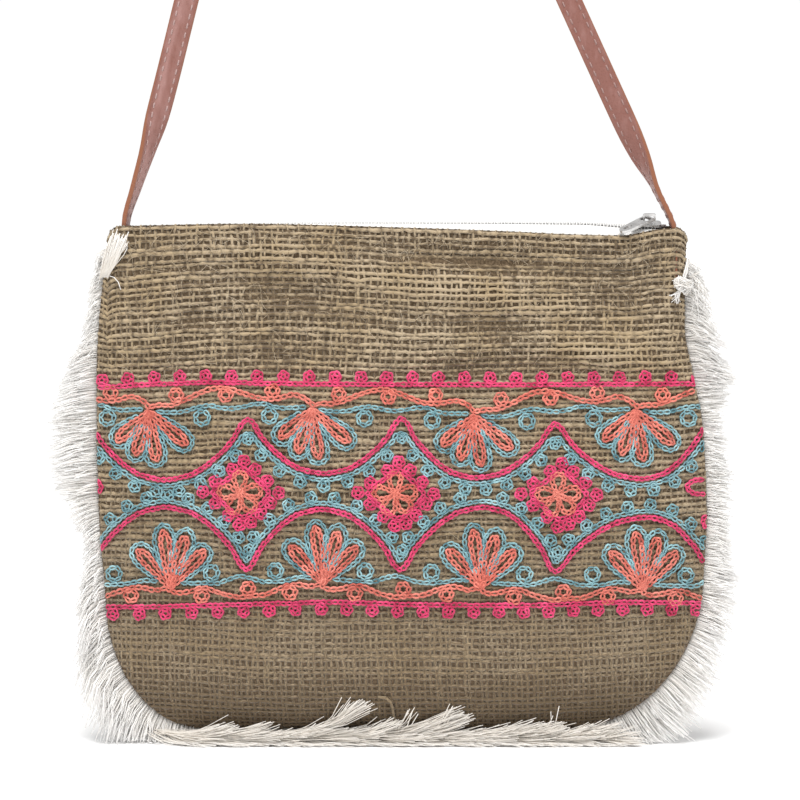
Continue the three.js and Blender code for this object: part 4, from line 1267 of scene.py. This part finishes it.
def tape_piece(name, front, material):
    """One ribbed tape: a leg down inside the wall, a slope over to the zip and a land beside the coil."""
    side = -1 if front else 1
    across = np.linspace(-TAPE["end"], TAPE["end"], TAPE["columns"])
    ridge, back, up = zip_frame(across)
    face = SEAM_HALF + hollow(across, BODY_HEIGHT) - SEWING_GAP
    fold = mouth_height(front, across) - TAPE["tuck"]
    low_face = face + np.minimum(0, folds(across, fold - TAPE["leg"])) if front else face

    def inside_wall(out, height):
        return np.stack([across, side * out, height], -1)

    def beside_ridge(out, sink):
        return ridge + side * out * back - sink * up

    def layer(*corners):
        corners = np.array(corners)
        steps = np.linspace(0, len(corners) - 1, TAPE["ribs"])
        first = np.minimum(steps.astype(int), len(corners) - 2)
        share = (steps - first)[:, None, None]
        return corners[first] * (1 - share) + corners[first + 1] * share

    thick = TAPE["thick"]
    low = fold - TAPE["leg"]
    coil_side = COIL["half"] + COIL["gap"]
    outer = layer(
        inside_wall(low_face, low), inside_wall(face, fold),
        beside_ridge(TAPE["land"], 0), beside_ridge(coil_side, 0),
    )
    inner = layer(
        inside_wall(low_face - thick, low), inside_wall(face - thick, fold - thick / 2),
        beside_ridge(TAPE["land"] - thick / 2, thick), beside_ridge(coil_side, thick),
    )
    ribs = TAPE_RIB * np.where(np.arange(TAPE["ribs"]) % 2, 1, -1)[:, None, None]
    outer = outer + ribs * unit(outer - inner)
    points = np.concatenate([outer.reshape(-1, 3), inner.reshape(-1, 3)])
    return new_piece(name, points, wrapped_rows(TAPE["columns"], TAPE["ribs"], front), material)


def tape_material():
    """Fine white twill, with painted shade in its furrows."""
    material, shader = new_material("zip_tape_white", Roughness=0.85)
    weave = noise(material, (2600, 500, 500), 2.0)
    share = spread_out(material, weave, 0.35, 0.65)
    twill_with_furrow_shade = mixed(material, share, (0.72, 0.71, 0.69), (0.88, 0.87, 0.85))
    link(material, twill_with_furrow_shade, shader.inputs["Base Color"])
    bumped(material, shader, weave, strength=0.5, depth=0.0002)
    return material


tape_white = tape_material()
zip_front = tape_piece("zip_tape_front_woven", True, tape_white)
zip_back = tape_piece("zip_tape_back_woven", False, tape_white)
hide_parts("zip_tape_front")
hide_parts("zip_tape_back")

# One turn of the coil in its section: from the tape over the ridge and round the other side's turn
TURN_OUT = np.array([1.0, 0.72, 0.2, -0.3, -0.44, -0.3])
TURN_RISE = np.array([-0.2, 0.5, 0.74, 0.6, 0.1, -0.5])
WIRE = {"half_wide": 0.36, "half_high": 0.3, "shade": 0.7}


def coil_batch():
    """The turns of both coils, one from each side in turn."""
    across = np.arange(COIL["start"], COIL["end"], COIL["pitch"])
    side = np.where(np.arange(across.size) % 2, 1.0, -1.0)
    ridge, back, up = zip_frame(across)
    out = (side[:, None] * TURN_OUT * (COIL["half"] - WIRE["half_high"]))[..., None] * back[:, None]
    rise = (TURN_RISE * COIL["rise"] - COIL["sink"])[:, None] * up[:, None]
    path = ridge[:, None] + out + rise
    ups = np.broadcast_to(up[:, None], path.shape)
    return threads(path, ups, **WIRE)


coil_nylon = thread_material(
    "coil_nylon", dark=(0.62, 0.61, 0.59), light=(0.9, 0.89, 0.87), tint=(0.86, 0.86, 0.85),
    fibre=(900, 900, 900), streak=0.1, roughness=0.35, sheen=0.0,
)
zip_turns = thread_piece("zip_coil_turns", [coil_batch()], coil_nylon, columns=8)
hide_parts("zip_coil")


def plated_metal():
    """Dull nickel plate: cloudy, finely scratched and slightly uneven."""
    material, shader = new_material("nickel_plate", Metallic=1.0)
    cloud = spread_out(material, noise(material, (350, 350, 350)), 0.3, 0.7)
    plate = mixed(material, cloud, (0.5, 0.49, 0.48), (0.72, 0.71, 0.7))
    link(material, plate, shader.inputs["Base Color"])
    scratches = noise(material, (400, 5000, 3000), 4.0)
    link(material, spread_out(material, scratches, 0.3, 0.7, 0.2, 0.42), shader.inputs["Roughness"])
    bumped(material, shader, scratches, strength=0.12, depth=0.0001)
    return material


CAST_EDGE = 0.2  # rounding of the castings' edges
nickel = plated_metal()
for name in ("zip_slider", "zip_pull"):
    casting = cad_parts[name]
    casting.data.materials.clear()
    casting.data.materials.append(nickel)
    softened = casting.modifiers.new("soft_edges", "BEVEL")
    softened.width = CAST_EDGE * MM
    softened.segments = 2
    softened.limit_method = "ANGLE"

# Leather strap
# One strip of rosy brown leather with raw orange-brown edges and a row of stitches along each edge. Its ends
# stand on edge between the walls, and it turns its face to the front a hand's width above the mouth.
STRAP = {"half_wide": 5.5, "half_thick": 1.1, "bend": 18, "bend_steps": 14, "step": 4.5}
HANDLE_LEAN = {"left": math.radians(14), "right": math.radians(24.7)}
HANDLE_POINT = {"left": -97.9, "right": 75.6, "height": 336}
STRAP_RUNS = {
    "left": {
        "height": [210, 232, 250, 266, 290, 336],
        "across": [-126.4, -126.4, -121.5, -116.4, -109.6, -97.9],
        "turn": [90, 84, 74, 60, 12, 0],
    },
    "right": {
        "height": [206, 228, 249, 266, 284, 336],
        "across": [124.6, 124.6, 116, 108, 99.6, 75.6],
        "turn": [90, 90, 84, 42, 10, 0],
    },
}
FACE_ON = 372  # height up to which the strap keeps its face to the front
STITCH_ROW = 3.1  # from the strap's middle
STRAP_STITCH = {"pitch": 4.3, "share": 0.62, "half_wide": 0.4, "half_high": 0.24, "from_end": 26}
# One stitch: share of its length and share of the strap's half thickness, from one hole to the next
STITCH_ALONG = np.array([0, 0.2, 0.8, 1])
STITCH_RISE = np.array([0.7, 1.08, 1.08, 0.7])[:, None]
# How much of the rubbed streaks' wear shows on each run; painted shade makes the right run and its stitches
# darker than the left
RUN_WEAR_AND_PAINTED_SHADE = {"left": 0.85, "right": -0.2}
STITCH_SHADES = {"left": 0.5, "right": 0.05}


def bend_centre():
    """The middle of the strap's top bend, which touches both straight runs."""
    rows, reaches = [], []
    for side, inward in (("left", 1), ("right", -1)):
        lean = HANDLE_LEAN[side]
        normal = np.array([inward * math.cos(lean), -math.sin(lean)])
        rows.append(normal)
        reaches.append(normal @ np.array([HANDLE_POINT[side], HANDLE_POINT["height"]]) + STRAP["bend"])
    return np.linalg.solve(np.array(rows), np.array(reaches))


def by_run(values, across):
    """A value of the left run that changes over the top bend to the right run's."""
    middle = bend_centre()[0]
    bend = [middle - STRAP["bend"], middle + STRAP["bend"]]
    return np.interp(across, bend, [values["left"], values["right"]])


def strap_run(side, centre):
    """One run from its sewn end up to the bend: places across, heights and turns in degrees."""
    inward = 1 if side == "left" else -1
    lean = HANDLE_LEAN[side]
    table = STRAP_RUNS[side]
    first, last = table["height"][0], table["height"][-1]
    top = centre[1] + STRAP["bend"] * math.sin(lean)
    height = np.linspace(first, top, round((top - first) / STRAP["step"]), endpoint=False)
    straight = np.maximum(0, height - last) * math.tan(lean)
    t = np.clip((height - FACE_ON) / (top - FACE_ON), 0, 1)
    turn = between(table, "height", "turn", height) + 90 * t * t * (3 - 2 * t)
    return np.stack([between(table, "height", "across", height) + inward * straight, height, turn], -1)


def strap_line():
    """The strap's midline with its width and thickness directions."""
    centre = bend_centre()
    angle = np.linspace(math.pi - HANDLE_LEAN["left"], HANDLE_LEAN["right"], STRAP["bend_steps"] + 1)
    bend = centre + STRAP["bend"] * np.stack([np.cos(angle), np.sin(angle)], -1)
    bend = np.concatenate([bend, np.full((len(bend), 1), 90.0)], 1)
    rows = np.concatenate([strap_run("left", centre), bend, strap_run("right", centre)[::-1]])
    points = np.stack([rows[:, 0], 0 * rows[:, 0], rows[:, 1]], -1)
    way = unit(np.gradient(points, axis=0))
    flat = np.stack([way[:, 2], 0 * way[:, 0], -way[:, 0]], -1)
    turn = np.radians(rows[:, 2])[:, None]
    width = flat * np.cos(turn) + np.cross(way, flat) * np.sin(turn)
    return points, width, np.cross(way, width)


# Half of the strap's section from one edge to the other: share of the width, share of the thickness, how much
# of the raw edge shows and how pale the face is rubbed; it dips along each row of stitches
STRAP_SECTION = [
    (-1, 0.3, 1, 0), (-0.985, 0.7, 1, 0), (-0.94, 0.93, 0.6, 0), (-0.85, 1, 0, 0.1),
    (-0.62, 0.96, 0, 0.55), (-0.56, 0.88, 0, 0.6), (-0.5, 0.96, 0, 0.8), (-0.3, 1.02, 0, 1),
    (0.05, 1.04, 0, 0.35), (0.3, 1.02, 0, 0.45), (0.5, 0.96, 0, 0.7), (0.56, 0.88, 0, 0.6),
    (0.62, 0.96, 0, 0.4), (0.85, 1, 0, 0.05), (0.94, 0.93, 0.6, 0), (0.985, 0.7, 1, 0), (1, 0.3, 1, 0),
]


def strap_piece(points, width, thick, material):
    """The leather strip, closed at both ends."""
    upper = np.array(STRAP_SECTION)
    lower = upper[::-1] * np.array([1, -1, 1, 1])
    section = np.concatenate([upper, lower])
    u = section[:, 0] * STRAP["half_wide"]
    v = section[:, 1] * STRAP["half_thick"]
    rings = points[:, None] + u[:, None] * width[:, None] + v[:, None] * thick[:, None]
    count, around = rings.shape[:2]
    n, k = np.meshgrid(np.arange(count - 1), np.arange(around), indexing="ij")
    after = (k + 1) % around
    this_ring, next_ring = n * around, (n + 1) * around
    quads = np.stack([this_ring + k, next_ring + k, next_ring + after, this_ring + after], -1)
    faces = quads.reshape(-1, 4).tolist()
    faces.append(list(range(around)))
    faces.append(list(range(count * around - 1, (count - 1) * around - 1, -1)))
    piece = new_piece("strap_leather", rings.reshape(-1, 3), faces, material)
    raw_edge = np.tile(section[:, 2], count)
    # wear of the rubbed streaks, with painted shade on the right run
    wear_and_painted_light = np.outer(by_run(RUN_WEAR_AND_PAINTED_SHADE, points[:, 0]), section[:, 3]).ravel()
    for name, shown in (("raw_edge", raw_edge), ("wear_and_painted_light", wear_and_painted_light)):
        piece.data.attributes.new(name, "FLOAT", "POINT").data.foreach_set("value", shown)
    return piece


LEATHER = {"deep": (0.22, 0.085, 0.064), "wear_and_painted_light": (0.39, 0.215, 0.195), "pores": (0.3, 0.135, 0.11)}
LEATHER_EDGE = (0.27, 0.1, 0.05)
LEATHER_GRAIN = 900.0


def leather_material():
    """Grained rosy leather that is rubbed lighter in patches, with a raw orange-brown edge."""
    material, shader = new_material("strap_leather", Specular_IOR_Level=0.4)
    grain = node(material, "TexVoronoi", Scale=LEATHER_GRAIN)
    place = node(material, "TexCoord")
    link(material, place.outputs["Object"], grain.inputs["Vector"])
    # the strap's wear, with painted shade on its right run
    streak = node(material, "Attribute", attribute_name="wear_and_painted_light")
    patches = node(material, "Math", operation="MULTIPLY_ADD")
    clouds = spread_out(material, noise(material, (250, 250, 90)), 0.3, 0.7, -0.5, 0.5)
    link(material, clouds, patches.inputs[0])
    patches.inputs[1].default_value = 1.0
    link(material, streak.outputs["Fac"], patches.inputs[2])
    wear_and_painted_light = spread_out(material, patches.outputs["Value"], 0.0, 1.0)
    face = mixed(material, wear_and_painted_light, LEATHER["deep"], LEATHER["wear_and_painted_light"])
    pores = spread_out(material, grain.outputs["Distance"], 0.0, 0.5, 0.0, 0.35)
    face = mixed(material, pores, face, LEATHER["pores"])
    edge = node(material, "Attribute", attribute_name="raw_edge")
    colour = mixed(material, edge.outputs["Fac"], face, LEATHER_EDGE)
    link(material, colour, shader.inputs["Base Color"])
    link(material, spread_out(material, wear_and_painted_light, 0.0, 1.0, 0.42, 0.58), shader.inputs["Roughness"])
    bumped(material, shader, grain.outputs["Distance"], strength=0.35, depth=0.0002)
    return material


def strap_stitch_batches(points, width, thick):
    """Short stitches in a row along each edge, on both faces."""
    run = run_length(points[:, None], 0)[:, 0]
    ends = STRAP_STITCH["from_end"]
    starts = np.arange(run[0] + ends, run[-1] - ends, STRAP_STITCH["pitch"])
    along = starts[:, None] + STRAP_STITCH["pitch"] * STRAP_STITCH["share"] * STITCH_ALONG
    rise = STITCH_RISE * STRAP["half_thick"]
    half_wide, half_high = STRAP_STITCH["half_wide"], STRAP_STITCH["half_high"]

    def read(values):
        return np.stack([np.interp(along, run, column) for column in values.T], -1)

    middle, sideways, outward = read(points), read(width), read(thick)
    shade = by_run(STITCH_SHADES, middle[:, :1, 0])
    batches = []
    for row in (-STITCH_ROW, STITCH_ROW):
        for face in (-1, 1):
            path = middle + row * sideways + face * rise * outward
            batches.append(threads(path, face * outward, half_wide, half_high, shade))
    return batches


strap_midline = strap_line()
strap_leather = strap_piece(*strap_midline, leather_material())
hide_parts("strap")
pale_thread = thread_material(
    "strap_stitch_thread", dark=(0.33, 0.195, 0.175), light=(0.56, 0.4, 0.38), tint=(0.52, 0.36, 0.33),
    fibre=(2500, 2500, 2500), streak=0.3, roughness=0.75, sheen=0.1,
)
sewn_rows = strap_stitch_batches(*strap_midline)
strap_stitches = thread_piece("strap_stitches", sewn_rows, pale_thread, columns=12)

# Floor, light and camera
# A white floor that meets a white surround, a broad soft light from high in front, and a long lens a little
# above the bag's middle.
FLOOR_HALF = 6.0
FLOOR_GAP = 0.3  # under the lowest strands
FLOOR_LEVEL = BAG_BOTTOM + (FLOOR_UNDER - FLOOR_GAP) * MM
floor_mesh = bpy.data.meshes.new("floor")
corners = [(x * FLOOR_HALF, y * FLOOR_HALF, FLOOR_LEVEL) for x, y in ((-1, -1), (1, -1), (1, 1), (-1, 1))]
floor_mesh.from_pydata(corners, [], [(0, 1, 2, 3)])
floor = bpy.data.objects.new("floor", floor_mesh)
bpy.context.scene.collection.objects.link(floor)
floor_white, _ = new_material("floor_white", Base_Color=(0.93, 0.93, 0.93, 1), Roughness=0.9)
floor_mesh.materials.append(floor_white)

# The surround is pure white to the eye, and lights the bag with part of that, so that the key light shapes it
SURROUND_SHOWN = 1.02
SURROUND_LIGHT = 0.72
surround = bpy.data.worlds.new("surround")
surround.use_nodes = True
backdrop = surround.node_tree.nodes["Background"]
backdrop.inputs["Color"].default_value = (1, 1, 1, 1)
ray = surround.node_tree.nodes.new("ShaderNodeLightPath")
brightness = surround.node_tree.nodes.new("ShaderNodeMapRange")
brightness.inputs["To Min"].default_value = SURROUND_LIGHT
brightness.inputs["To Max"].default_value = SURROUND_SHOWN
surround.node_tree.links.new(ray.outputs["Is Camera Ray"], brightness.inputs["Value"])
surround.node_tree.links.new(brightness.outputs["Result"], backdrop.inputs["Strength"])
bpy.context.scene.world = surround
bpy.context.scene.view_settings.view_transform = "Standard"

view_target = Vector(in_part_frame(VIEW_CENTRE))


def look_at(thing, place, target):
    """Sets a light or camera at a place, pointed at a target."""
    thing.location = place
    thing.rotation_euler = (target - place).to_track_quat("-Z", "Y").to_euler()
    bpy.context.scene.collection.objects.link(thing)


# A far broad light, high in front and a little to the left, so that the floor is lit evenly
KEY_PLACE = Vector((-0.06, -0.8, 2.1))
KEY_STRENGTH = 2.9
KEY_BREADTH = math.radians(30)
key_lamp = bpy.data.lights.new("key_light", "SUN")
key_lamp.energy = KEY_STRENGTH
key_lamp.angle = KEY_BREADTH
look_at(bpy.data.objects.new("key_light", key_lamp), view_target + KEY_PLACE, view_target)

VIEW_WIDTH = 367.2  # millimetres seen across the bag's middle
camera_data = bpy.data.cameras.new("camera")
camera_data.lens = camera_data.sensor_width * VIEW_DISTANCE / VIEW_WIDTH
camera = bpy.data.objects.new("camera", camera_data)
look_at(camera, Vector(in_part_frame(VIEW_EYE)), view_target)
bpy.context.scene.camera = camera
